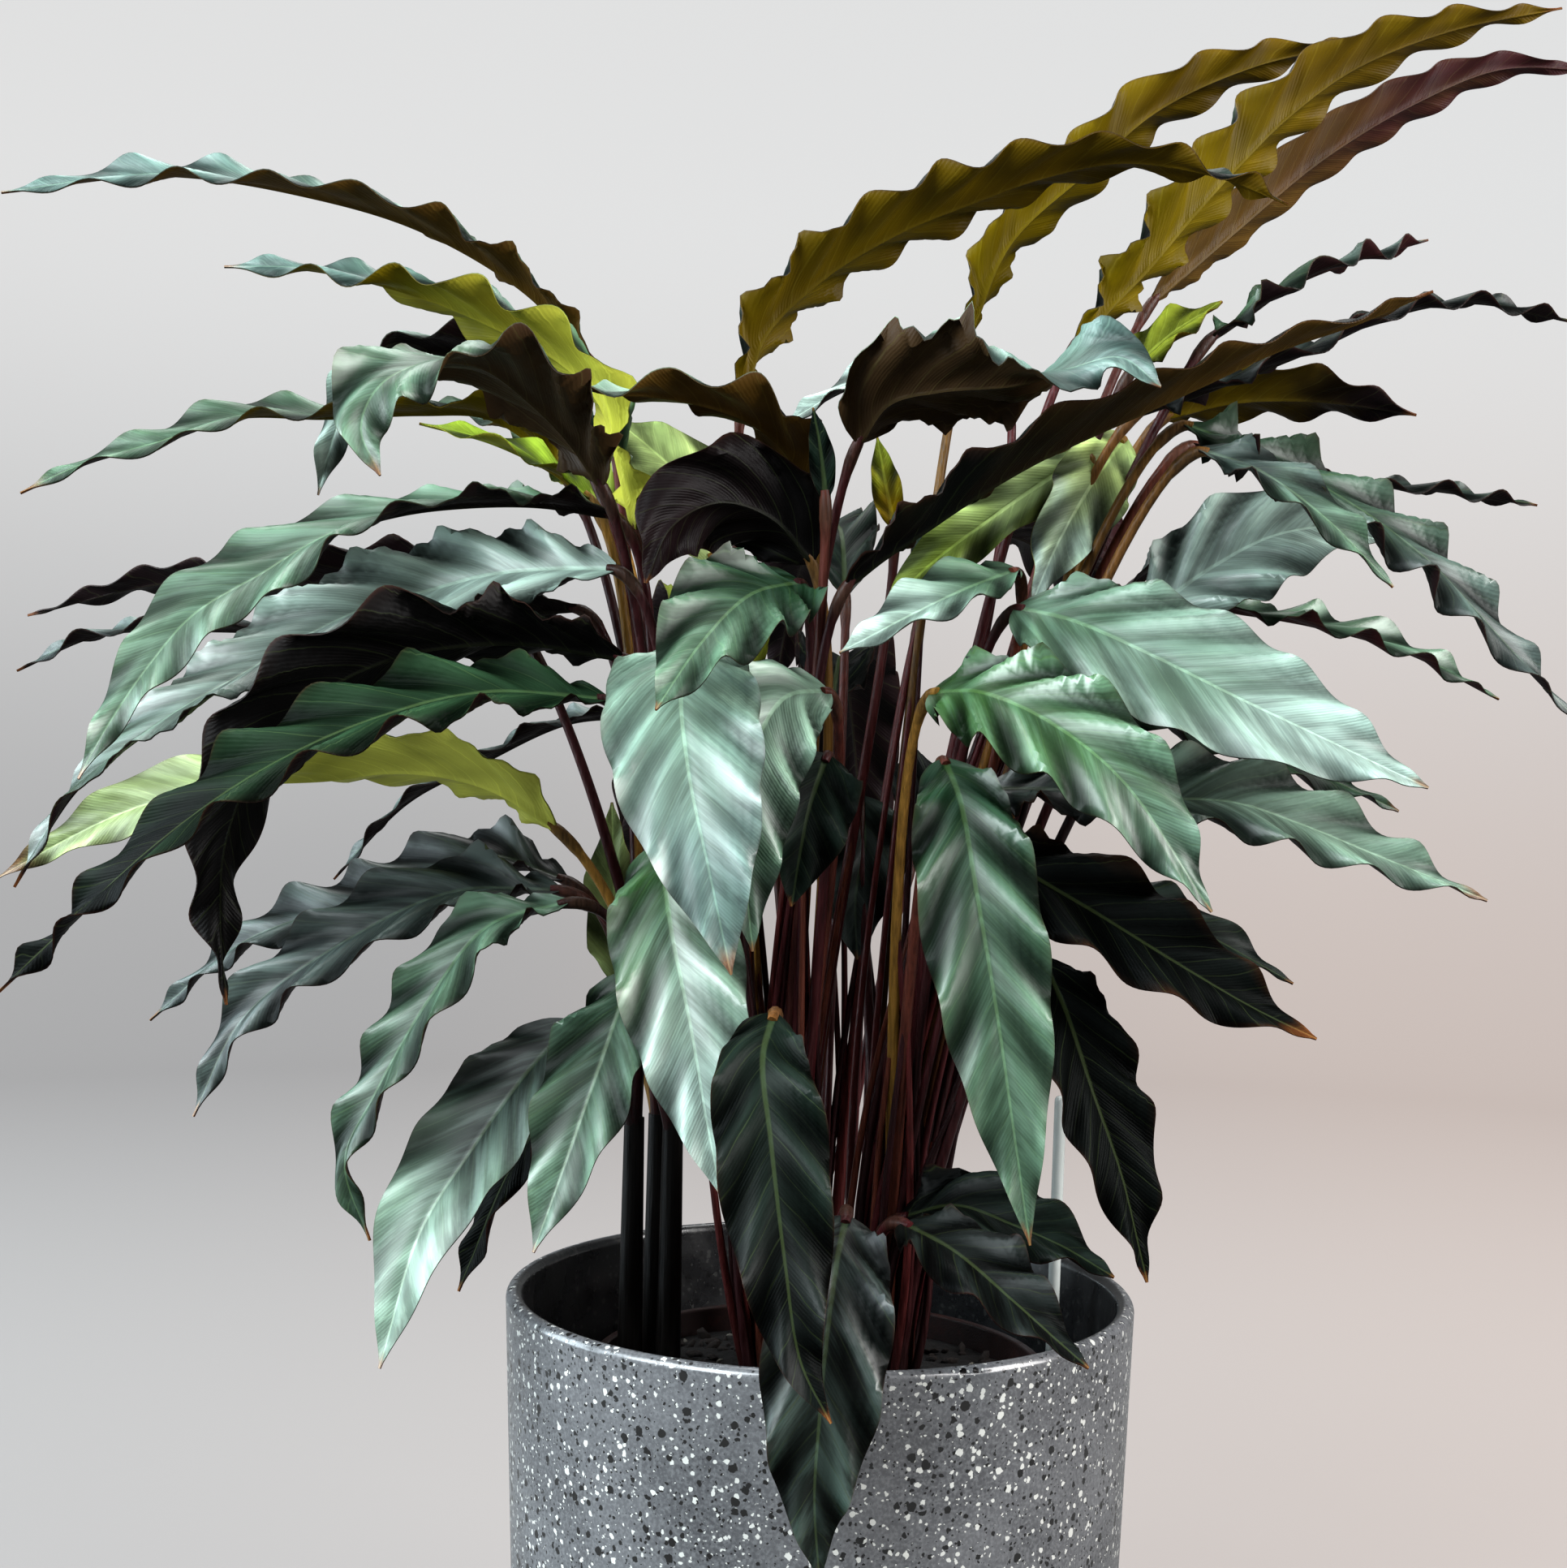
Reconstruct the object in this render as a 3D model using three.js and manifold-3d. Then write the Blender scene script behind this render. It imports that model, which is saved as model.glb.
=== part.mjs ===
// A potted calathea rufibarba: long waved leaves on thin red-brown stalks, in a nursery pot
// that stands loose inside a round speckled planter. Millimetres, +Z up. The origin is the
// centre of the planter's flat foot, and -Y is the front.
import * as THREE from "three";
import { mergeVertices } from "three/addons/utils/BufferGeometryUtils.js";
import Module from "manifold-3d";

const wasm = await Module();
wasm.setup();

// Driving dimensions
const seatGap = 0.3; // between pieces that rest on each other
const planter = {
  rimRadius: 110,
  footRadius: 103,
  height: 185,
  wall: 6,
  floor: 9,
  lip: 2.5,
  footRound: 4,
  sides: 40,
};
const nursery = {
  rimRadius: 80,
  footRadius: 60,
  height: 150,
  wall: 1.8,
  floor: 2.4,
  rimBand: 12,
  rimProud: 1.6,
  drainRadius: 5,
  drainCircle: 38,
  drains: 4,
  sides: 32,
};
const soil = { belowRim: 9, crown: 2, holeDepth: 14, moundSteps: 3 };
const rod = { radius: 2.2, foot: [84, 26], top: [87.5, 25], height: 250, sides: 10 };
const stalk = {
  sides: 3,
  steps: 4,
  thick: 2.8,
  thin: 1.7,
  spread: 2.42, // turn in radians from one root in a collar to the next
  upright: 0.35, // of its rise, before it leans out
  bend: 30, // how far before its neck it starts to turn
  jointRadius: 2.4,
  jointLength: 13,
  sink: 10,
  join: 4, // how far a stalk runs into a small leaf that is one piece with it
  collarSides: 14,
  collarRise: 4,
  tidy: 0.05, // slivers thinner than this are taken off where stalks run into each other
};
const blade = {
  edgeThickness: 1,
  ribThickness: 1.7,
  neckWidth: 3.6,
  tipWidth: 1.4,
  waveLength: 30,
  waveHeight: 0.15, // of the blade's width
  fold: 0.24, // how steeply the halves rise from the rib
  widest: 0.72, // under 1 moves the widest place towards the neck
  fullness: 0.75,
};

const finish = {
  planterGlaze: { color: 0x7a7d7c, roughness: 0.22, metalness: 0 },
  nurseryPlastic: { color: 0x6b3f33, roughness: 0.55, metalness: 0 },
  pottingSoil: { color: 0x2b211b, roughness: 0.95, metalness: 0 },
  clearPlastic: { color: 0xc9cdcb, roughness: 0.15, metalness: 0 },
  stalkRed: { color: 0x4a221b, roughness: 0.5, metalness: 0 },
  green: { color: 0x2c4a3c, roughness: 0.4, metalness: 0 },
  dark: { color: 0x17201d, roughness: 0.4, metalness: 0 },
  lime: { color: 0x8fa83a, roughness: 0.45, metalness: 0 },
  olive: { color: 0x5a4a1c, roughness: 0.45, metalness: 0 },
};

// Each clump of stalks: the middle and radius of its collar in the soil. The stalks of the left
// clump leave the tops of a few thick sheathed poles, and the others rise from the collar.
const clumps = {
  left: { middle: [-58, 6], radius: 15, poles: [[-67, 4], [-53, 0], [-59, 14]] },
  centre: { middle: [-15, -5], radius: 17, poles: [] },
  right: { middle: [22, 0], radius: 17, poles: [] },
  back: { middle: [0, 48], radius: 14, poles: [] },
};
const pole = { height: 92, footRadius: 4.6, topRadius: 3.6, sides: 7, grip: 10 };

// The leaves. Each has the clump it grows from, its tone, its width, the ways its upper side looks
// at even steps from neck to tip, and the points that its rib passes. Some are less folded.
const leaves = {
  left_1: {
    clump: "left", tone: "dark", width: 30, fold: 0.28,
    faces: [[0.7, 0.18, 0.69], [0.47, 0.08, 0.88], [0.18, -0.14, 0.97], [0.06, -0.59, 0.81],
     [-0.01, -0.77, 0.64]],
    rib: [[-90, 20, 515], [-111, 14, 537], [-148, 6, 557], [-186, -3, 566], [-237, -12, 570],
     [-290, -20, 560]],
  },
  left_2: {
    clump: "left", tone: "dark", width: 48, fold: 0.15,
    faces: [[0.66, 0.44, 0.6], [0.36, 0.37, 0.86], [-0.07, 0.05, 1], [-0.07, -0.79, 0.62],
     [0.21, -0.93, 0.31]],
    rib: [[-80, -30, 462], [-90, -36, 476], [-102, -46, 487], [-117, -60, 496], [-132, -74, 494],
     [-145, -86, 484], [-149, -94, 469], [-142, -98, 454]],
  },
  left_3: {
    clump: "left", tone: "olive", width: 38, fold: 0.12,
    faces: [[0.95, 0.18, 0.24], [0.92, 0.29, 0.27], [0.44, 0.34, 0.83], [0.31, 0.29, 0.9],
     [0.16, -0.4, 0.9], [0.07, -0.8, 0.59]],
    rib: [[-70, -6, 450], [-75, -6, 470], [-83, -5, 495], [-98, -2, 510], [-119, 0, 521],
     [-144, 0, 531], [-167, -2, 537], [-189, -5, 540], [-216, -8, 539]],
  },
  left_4: {
    clump: "left", tone: "green", width: 27,
    faces: [[0.75, 0.25, 0.61], [-0.04, -0.09, 0.99], [0.04, -0.33, 0.94], [-0.13, -0.6, 0.79],
     [-0.26, -0.69, 0.68]],
    rib: [[-97, 30, 470], [-111, 28, 486], [-128, 25, 495], [-151, 22, 495], [-186, 18, 492],
     [-215, 10, 490], [-239, 0, 479], [-263, -6, 470], [-285, -10, 458]],
  },
  left_5: {
    clump: "left", tone: "dark", width: 34,
    faces: [[0.58, 0.74, 0.35], [0.59, 0.62, 0.52], [0.26, 0.34, 0.9], [-0.33, -0.08, 0.94],
     [-0.34, -0.89, 0.3], [0.08, -0.99, 0.08]],
    rib: [[-91, 58, 477], [-112, 60, 506], [-135, 58, 522], [-155, 54, 524], [-172, 48, 518],
     [-183, 43, 501], [-188, 40, 485], [-192, 38, 466]],
  },
  left_6: {
    clump: "left", tone: "green", width: 40, fold: 0.2,
    faces: [[0.17, 0.06, 0.98], [-0.09, -0.14, 0.99], [-0.25, -0.37, 0.89], [-0.02, -0.69, 0.72],
     [-0.03, -0.81, 0.59], [-0.02, -0.91, 0.42]],
    rib: [[-78, -10, 455], [-103, -12, 458], [-128, -14, 457], [-151, -18, 453], [-174, -25, 444],
     [-194, -36, 429], [-212, -50, 414], [-223, -64, 395], [-230, -76, 378], [-237, -85, 359]],
  },
  left_7: {
    clump: "left", tone: "green", width: 42, fold: 0.25,
    faces: [[-0.17, -0.76, 0.63], [-0.26, -0.78, 0.57], [-0.19, -0.72, 0.66], [-0.26, -0.55, 0.79],
     [-0.53, -0.43, 0.73], [-0.84, -0.29, 0.47]],
    rib: [[-75, -29, 434], [-97, -24, 434], [-120, -18, 432], [-139, -15, 427], [-162, -16, 420],
     [-183, -20, 409], [-201, -28, 396], [-217, -36, 385], [-235, -42, 371], [-251, -48, 355],
     [-268, -54, 323]],
  },
  left_8: {
    clump: "left", tone: "dark", width: 26,
    faces: [[0, 0.5, 0.87], [0, 0.45, 0.9]],
    rib: [[-110, 30, 410], [-125, 38, 432], [-160, 48, 440], [-217, 60, 433], [-259, 75, 436],
     [-319, 92, 423]],
  },
  left_9: {
    clump: "left", tone: "dark", width: 26,
    faces: [[0, 0.4, 0.9], [0, -0.3, 0.95]],
    rib: [[-92, 14, 424], [-138, 20, 421], [-187, 27, 415], [-234, 35, 415], [-274, 43, 413],
     [-308, 52, 399]],
  },
  left_10: {
    clump: "left", tone: "dark", width: 42,
    faces: [[0, 0.35, 0.93], [-0.8, 0.6, 0.1]],
    rib: [[-72, -33, 404], [-108, -39, 408], [-150, -50, 400], [-182, -52, 378], [-200, -50, 341],
     [-201, -52, 310], [-197, -56, 286]],
  },
  left_11: {
    clump: "left", tone: "green", width: 38,
    faces: [[0, -0.6, 0.8], [-0.5, -0.5, 0.7]],
    rib: [[-76, -45, 389], [-115, -55, 390], [-149, -68, 380], [-181, -80, 363], [-212, -87, 339],
     [-257, -94, 293]],
  },
  left_12: {
    clump: "left", tone: "lime", width: 40,
    faces: [[0.53, 0.59, 0.61], [0.24, 0.52, 0.82], [-0.09, 0.35, 0.93], [-0.15, -0.53, 0.83],
     [-0.11, -0.92, 0.39], [-0.09, -0.96, 0.28]],
    rib: [[-96, -8, 345], [-115, -4, 357], [-136, 0, 363], [-157, 3, 364], [-178, 5, 361],
     [-204, 7, 359], [-227, 8, 355], [-250, 8, 348], [-272, 6, 337], [-295, 4, 323]],
  },
  left_13: {
    clump: "left", tone: "dark", width: 20,
    faces: [[0, -0.2, 0.95], [0, -0.3, 0.95]],
    rib: [[-72, 66, 388], [-101, 76, 385], [-138, 92, 368], [-170, 106, 351], [-201, 120, 319]],
  },
  left_14: {
    clump: "left", tone: "dark", width: 32,
    faces: [[0.1, -0.5, 0.85], [-0.4, -0.6, 0.7]],
    rib: [[-94, 10, 326], [-125, 18, 334], [-171, 30, 316], [-217, 42, 299], [-256, 56, 267]],
  },
  left_15: {
    clump: "left", tone: "dark", width: 34,
    faces: [[0.1, -0.5, 0.85], [-0.4, -0.7, 0.6]],
    rib: [[-93, -20, 324], [-128, -26, 323], [-160, -32, 308], [-196, -38, 280], [-211, -42, 247]],
  },
  left_16: {
    clump: "left", tone: "green", width: 27,
    faces: [[0, -0.5, 0.85], [-0.75, -0.6, 0.3]],
    rib: [[-88, -42, 321], [-113, -50, 313], [-130, -60, 290], [-146, -68, 259], [-154, -72, 239],
     [-145, -74, 214]],
  },
  top_1: {
    clump: "centre", tone: "olive", width: 36, fold: 0.22,
    faces: [[-0.82, 0.56, 0.15], [-0.62, 0.44, 0.65], [-0.37, 0.4, 0.84], [-0.24, 0.34, 0.91],
     [0.22, 0.2, 0.96], [0.41, -0.17, 0.9]],
    rib: [[-34, 12, 501], [-27, 14, 524], [-6, 16, 546], [21, 16, 563], [47, 15, 574], [72, 13, 583],
     [98, 10, 588], [119, 7, 586], [139, 3, 580], [158, 0, 571]],
  },
  top_2: {
    clump: "centre", tone: "olive", width: 34, fold: 0.3,
    faces: [[0.52, 0.41, 0.75], [0.37, 0.24, 0.9], [0.06, 0.13, 0.99], [-0.09, 0.1, 0.99],
     [0.23, -0.08, 0.97]],
    rib: [[-10, 4, 470], [-20, -6, 482], [-32, -14, 489], [-47, -24, 492], [-65, -33, 493],
     [-79, -40, 492], [-90, -44, 494]],
  },
  top_3: {
    clump: "centre", tone: "dark", width: 52,
    faces: [[-0.58, 0.57, 0.58], [0.25, 0.45, 0.86], [0.17, 0.34, 0.92], [-0.53, -0.54, 0.66],
     [-0.18, -0.9, 0.41]],
    rib: [[7, -8, 482], [17, -14, 495], [35, -26, 498], [57, -38, 498], [75, -50, 501], [90, -60, 503],
     [102, -68, 492]],
  },
  top_4: {
    clump: "centre", tone: "dark", width: 42,
    faces: [[0.2, 0.85, 0.45], [-0.3, 0.8, 0.4]],
    rib: [[-8, -8, 440], [-22, -16, 454], [-40, -26, 458], [-56, -36, 448], [-64, -42, 428]],
  },
  front_1: {
    clump: "centre", tone: "green", width: 42, fold: 0.1,
    faces: [[0.36, -0.39, 0.85], [0.34, -0.49, 0.8], [0.07, -0.64, 0.77], [-0.03, -0.76, 0.65]],
    rib: [[-12, -18, 432], [-29, -50, 424], [-44, -80, 405], [-56, -98, 384]],
  },
  front_2: {
    clump: "centre", tone: "green", width: 50, fold: 0.1,
    faces: [[-0.1, -0.6, 0.8], [0, -1, 0.1]],
    rib: [[-46, -34, 408], [-50, -66, 393], [-46, -88, 365], [-38, -102, 333], [-31, -107, 304]],
  },
  front_3: {
    clump: "centre", tone: "green", width: 37, fold: 0.1,
    faces: [[0.3, -0.7, 0.65], [0.2, -1, 0]],
    rib: [[-2, -30, 394], [-16, -46, 391], [-24, -58, 379], [-28, -68, 363], [-28, -76, 338],
     [-25, -80, 309]],
  },
  front_4: {
    clump: "centre", tone: "green", width: 42, fold: 0.1,
    faces: [[-0.1, -0.8, 0.6], [-0.1, -1, 0.1]],
    rib: [[-57, -42, 341], [-52, -62, 315], [-44, -78, 284], [-38, -86, 255], [-33, -88, 233]],
  },
  front_5: {
    clump: "left", tone: "green", width: 34,
    faces: [[-0.3, -0.9, 0.3], [-0.35, -0.9, 0.15]],
    rib: [[-66, -42, 298], [-71, -55, 280], [-80, -75, 250], [-91, -90, 215]],
  },
  front_6: {
    clump: "left", tone: "green", width: 38,
    faces: [[-0.3, -0.8, 0.5], [-0.35, -0.9, 0.15]],
    rib: [[-86, -32, 280], [-100, -44, 264], [-116, -60, 240], [-129, -75, 217], [-138, -90, 178]],
  },
  front_7: {
    clump: "left", tone: "dark", width: 26,
    faces: [[-0.6, -0.5, 0.6], [-0.7, -0.6, 0.3]],
    rib: [[-86, -18, 268], [-98, -26, 244], [-108, -34, 226], [-121, -44, 191]],
  },
  front_8: {
    clump: "centre", tone: "green", width: 34, fold: 0.1,
    faces: [[0, -0.9, 0.4], [0, -1, 0.05]],
    rib: [[-18, -86, 290], [-21, -102, 278], [-18, -116, 256], [-13, -128, 222], [-8, -137, 196],
     [1, -142, 180]],
  },
  front_9: {
    clump: "centre", tone: "green", width: 38, fold: 0.1,
    faces: [[0, -0.8, 0.6], [0, -1, 0.05]],
    rib: [[6, -90, 228], [3, -106, 219], [0, -121, 200], [-2, -126, 176], [-3, -127, 153],
     [-1, -126, 129]],
  },
  front_10: {
    clump: "right", tone: "dark", width: 36,
    faces: [[0, -0.5, 0.85], [0.2, -0.6, 0.8]],
    rib: [[27, -22, 214], [45, -34, 221], [63, -44, 217], [80, -50, 211], [95, -56, 203]],
  },
  front_11: {
    clump: "right", tone: "dark", width: 30,
    faces: [[0.1, -0.6, 0.8], [0.2, -0.7, 0.7]],
    rib: [[26, -60, 220], [41, -82, 216], [57, -102, 206], [78, -116, 190]],
  },
  front_12: {
    clump: "right", tone: "green", width: 38, fold: 0.1,
    faces: [[0, -0.7, 0.7], [-0.1, -1, 0.15]],
    rib: [[36, -56, 371], [40, -76, 357], [44, -92, 330], [50, -104, 293], [55, -112, 258],
     [60, -115, 226]],
  },
  front_13: {
    clump: "right", tone: "green", width: 42, fold: 0.1,
    faces: [[-0.59, -0.4, 0.7], [-0.28, -0.65, 0.7], [0.07, -0.89, 0.46], [0.14, -0.94, 0.32]],
    rib: [[33, -38, 394], [48, -60, 393], [69, -82, 382], [89, -96, 364], [114, -106, 326]],
  },
  front_14: {
    clump: "right", tone: "green", width: 52, fold: 0.1,
    faces: [[-0.1, -0.75, 0.65], [-0.1, -0.85, 0.5]],
    rib: [[62, -26, 424], [80, -44, 418], [104, -58, 406], [128, -70, 393], [156, -80, 379],
     [185, -86, 365]],
  },
  front_15: {
    clump: "right", tone: "green", width: 34,
    faces: [[0.1, -0.56, 0.82], [0.4, -0.64, 0.65], [0.34, -0.71, 0.61], [0.27, -0.79, 0.54]],
    rib: [[62, -25, 406], [84, -30, 399], [116, -22, 389], [159, -14, 374], [198, -12, 357]],
  },
  front_16: {
    clump: "right", tone: "dark", width: 38,
    faces: [[-0.25, -0.52, 0.82], [-0.15, -0.64, 0.75], [0.11, -0.75, 0.66], [0.17, -0.79, 0.58]],
    rib: [[54, -17, 362], [84, -33, 362], [108, -42, 360], [133, -49, 359], [155, -53, 352],
     [175, -57, 344], [195, -61, 336], [212, -63, 329]],
  },
  front_17: {
    clump: "right", tone: "dark", width: 40,
    faces: [[0, -0.7, 0.7], [0, -0.8, 0.6]],
    rib: [[52, -24, 342], [89, -42, 321], [114, -52, 306], [137, -58, 293], [158, -62, 283]],
  },
  front_18: {
    clump: "right", tone: "dark", width: 34,
    faces: [[0.3, -0.8, 0.5], [0.4, -0.9, 0.2]],
    rib: [[72, -34, 305], [79, -46, 288], [87, -56, 263], [96, -62, 237], [104, -66, 204]],
  },
  front_19: {
    clump: "right", tone: "dark", width: 24,
    faces: [[0, -0.5, 0.85], [0, -0.6, 0.8]],
    rib: [[80, 8, 331], [109, 3, 322], [134, -4, 312], [163, -10, 296]],
  },
  right_1: {
    clump: "right", tone: "olive", width: 34,
    faces: [[-0.69, 0.52, 0.5], [-0.68, 0.6, 0.42], [-0.6, 0.64, 0.48], [-0.36, 0.57, 0.74],
     [-0.23, 0.54, 0.81]],
    rib: [[88, 28, 527], [102, 32, 543], [114, 35, 556], [131, 40, 577], [149, 46, 598], [170, 52, 620],
     [196, 56, 640], [235, 60, 657], [277, 64, 667]],
  },
  right_2: {
    clump: "right", tone: "olive", width: 28,
    faces: [[-0.6, 0.65, 0.5], [-0.2, 0.7, 0.7]],
    rib: [[50, 52, 534], [65, 56, 570], [95, 62, 600], [122, 70, 626], [161, 78, 647], [210, 88, 662]],
  },
  right_3: {
    clump: "right", tone: "olive", width: 28,
    faces: [[-0.5, 0.65, 0.6], [-0.1, 0.7, 0.7]],
    rib: [[121, 58, 550], [155, 76, 582], [193, 92, 616], [233, 104, 643], [271, 114, 661],
     [312, 122, 664]],
  },
  right_4: {
    clump: "right", tone: "olive", width: 24, fold: 0.08,
    faces: [[-0.55, -0.04, 0.84], [-0.57, -0.07, 0.82], [-0.3, -0.19, 0.94], [-0.24, -0.21, 0.95]],
    rib: [[134, 12, 526], [149, 18, 537], [165, 26, 549], [190, 36, 561], [223, 50, 573]],
  },
  right_5: {
    clump: "centre", tone: "dark", width: 40, fold: 0.3,
    faces: [[-0.6, 0.2, 0.78], [-0.5, 0.21, 0.84], [-0.41, 0.15, 0.9], [-0.37, 0.03, 0.93],
     [-0.4, -0.06, 0.91]],
    rib: [[4, -24, 431], [15, -25, 440], [31, -26, 451], [47, -28, 462], [69, -30, 475],
     [103, -33, 491], [124, -35, 501], [147, -36, 512], [172, -37, 521], [198, -38, 532]],
  },
  right_6: {
    clump: "right", tone: "dark", width: 22, fold: 0.08,
    faces: [[-0.36, -0.11, 0.93], [-0.39, -0.1, 0.91], [-0.18, -0.21, 0.96], [0.19, -0.32, 0.93]],
    rib: [[106, 0, 496], [136, -3, 507], [169, 0, 521], [196, 6, 534], [227, 12, 541], [268, 20, 536]],
  },
  right_7: {
    clump: "right", tone: "green", width: 28,
    faces: [[0, 0.6, 0.8], [0, 0.5, 0.85]],
    rib: [[121, 28, 500], [145, 27, 506], [168, 25, 507], [191, 23, 505], [211, 20, 501]],
  },
  right_8: {
    clump: "right", tone: "green", width: 35, fold: 0.06,
    faces: [[0.23, -0.54, 0.81], [0.31, -0.58, 0.75], [0.48, -0.64, 0.6], [0.42, -0.72, 0.56]],
    rib: [[120, -15, 490], [143, -20, 480], [171, -28, 464], [198, -38, 442], [223, -48, 412],
     [243, -55, 388]],
  },
  right_9: {
    clump: "right", tone: "green", width: 44, fold: 0.1,
    faces: [[-0.36, -0.8, 0.48], [-0.3, -0.87, 0.38], [-0.2, -0.91, 0.37], [-0.05, -0.94, 0.35]],
    rib: [[114, 5, 427], [134, 5, 442], [156, 3, 454], [176, 0, 457], [193, -3, 452]],
  },
  right_10: {
    clump: "right", tone: "dark", width: 20, fold: 0.06,
    faces: [[0.29, -0.18, 0.94], [0.16, -0.19, 0.97], [0.07, -0.2, 0.98], [0.15, -0.22, 0.96]],
    rib: [[127, 8, 487], [155, 18, 480], [188, 28, 477], [221, 36, 477], [265, 46, 473]],
  },
  right_11: {
    clump: "right", tone: "green", width: 23,
    faces: [[0.1, -0.6, 0.8], [0.3, -0.7, 0.6]],
    rib: [[122, -33, 478], [140, -42, 470], [161, -53, 452], [180, -61, 430]],
  },
  right_12: {
    clump: "right", tone: "green", width: 22,
    faces: [[0.19, -0.29, 0.94], [0.24, -0.36, 0.9], [0.41, -0.47, 0.79], [0.48, -0.57, 0.66]],
    rib: [[140, 10, 429], [175, 16, 424], [212, 24, 415], [248, 34, 399]],
  },
};

// Small leaves, which are one piece with the clump that they grow from.
const smallLeaves = [
  {
    clump: "left", width: 20,
    faces: [[0.1, -0.4, 0.9], [0, -0.3, 0.95]],
    rib: [[-88, 10, 463], [-100, 8, 472], [-123, 4, 482], [-148, 0, 487]],
  },
  {
    clump: "left", width: 28,
    faces: [[0.3, -0.5, 0.8], [0, -0.5, 0.85]],
    rib: [[-84, 78, 462], [-104, 88, 486], [-130, 94, 504], [-152, 98, 510]],
  },
  {
    clump: "left", width: 22,
    faces: [[-0.3, -0.9, 0.2], [-0.3, -0.9, 0.2]],
    rib: [[-72, 22, 286], [-77, 22, 318], [-79, 24, 354]],
  },
  {
    clump: "centre", width: 34,
    faces: [[0, -0.9, 0.4], [0, -0.9, 0.4]],
    rib: [[-44, 32, 444], [-53, 32, 470], [-68, 32, 485], [-81, 32, 495]],
  },
  {
    clump: "centre", width: 12,
    faces: [[0, -1, 0.1], [0, -1, 0.1]],
    rib: [[-4, -23, 460], [-6, -24, 476], [-9, -24, 491]],
  },
  {
    clump: "centre", width: 14,
    faces: [[0, -1, 0.1], [0, -1, 0.1]],
    rib: [[22, 20, 456], [18, 20, 474], [15, 20, 489]],
  },
  {
    clump: "centre", width: 30,
    faces: [[0.3, -0.7, 0.6], [0.2, -1, 0.1]],
    rib: [[-2, -32, 372], [-8, -46, 353], [-13, -55, 322]],
  },
  {
    clump: "right", width: 24,
    faces: [[0, -0.4, 0.9], [0, -0.4, 0.9]],
    rib: [[62, 44, 516], [30, 42, 519], [3, 40, 510], [-20, 38, 495]],
  },
  {
    clump: "right", width: 22,
    faces: [[-0.4, -0.6, 0.7], [-0.4, -0.6, 0.7]],
    rib: [[106, 8, 514], [120, 8, 527], [137, 8, 538]],
  },
  {
    clump: "right", width: 22,
    faces: [[0.5, -0.6, 0.6], [0.5, -0.6, 0.6]],
    rib: [[89, 4, 482], [57, 0, 459], [29, -4, 436], [14, -6, 416]],
  },
  {
    clump: "right", width: 28,
    faces: [[0.4, -0.8, 0.4], [0.3, -0.9, 0.2]],
    rib: [[104, 16, 490], [89, 12, 468], [77, 8, 447], [68, 4, 426]],
  },
  {
    clump: "right", width: 26,
    faces: [[0, -0.6, 0.8], [-0.1, -0.6, 0.8]],
    rib: [[63, -14, 438], [45, -30, 430], [21, -48, 417], [1, -60, 405]],
  },
  {
    clump: "back", width: 40,
    faces: [[0.2, -0.3, 0.9], [-0.4, 0.8, 0.5]],
    rib: [[-30, 72, 400], [-45, 110, 430], [-66, 165, 425], [-84, 212, 382], [-92, 240, 332]],
  },
  {
    clump: "back", width: 42,
    faces: [[0, -0.2, 0.95], [0, 0.95, 0.2]],
    rib: [[2, 78, 395], [6, 115, 415], [12, 160, 395], [18, 192, 345], [20, 206, 290]],
  },
  {
    clump: "back", width: 38,
    faces: [[-0.2, -0.3, 0.9], [0.4, 0.8, 0.5]],
    rib: [[36, 68, 430], [53, 104, 462], [88, 156, 468], [124, 200, 440], [152, 232, 392]],
  },
  {
    clump: "back", width: 40,
    faces: [[0.1, -0.2, 0.9], [-0.3, 0.9, 0.2]],
    rib: [[-44, 76, 325], [-58, 105, 342], [-70, 145, 322], [-77, 175, 275], [-78, 188, 230]],
  },
  {
    clump: "back", width: 40,
    faces: [[-0.1, -0.2, 0.9], [0.4, 0.9, 0.2]],
    rib: [[34, 76, 330], [47, 100, 368], [60, 140, 362], [68, 174, 318], [70, 190, 262]],
  },
  {
    clump: "back", width: 36,
    faces: [[0, -0.4, 0.9], [-0.1, 0.8, 0.5]],
    rib: [[6, 66, 436], [4, 92, 464], [-4, 135, 468], [-14, 182, 448], [-22, 224, 400]],
  },
  {
    clump: "right", width: 24,
    faces: [[0.73, 0.65, -0.22], [0.7, 0.71, -0.1]],
    rib: [[95, 60, 483], [98, 52, 469], [102, 46, 457], [105, 42, 447]],
  },
  {
    clump: "right", width: 26,
    faces: [[-0.67, 0.04, 0.74], [-0.33, -0.38, 0.86]],
    rib: [[117, 66, 442], [133, 62, 455], [152, 60, 465], [172, 60, 473]],
  },
  {
    clump: "right", width: 34,
    faces: [[0.28, -0.93, 0.25], [0.22, -0.97, 0.09]],
    rib: [[12, 38, 358], [14, 34, 341], [11, 30, 321], [12, 28, 298]],
  },
];

const vector = (point) => new THREE.Vector3(...point);

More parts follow.
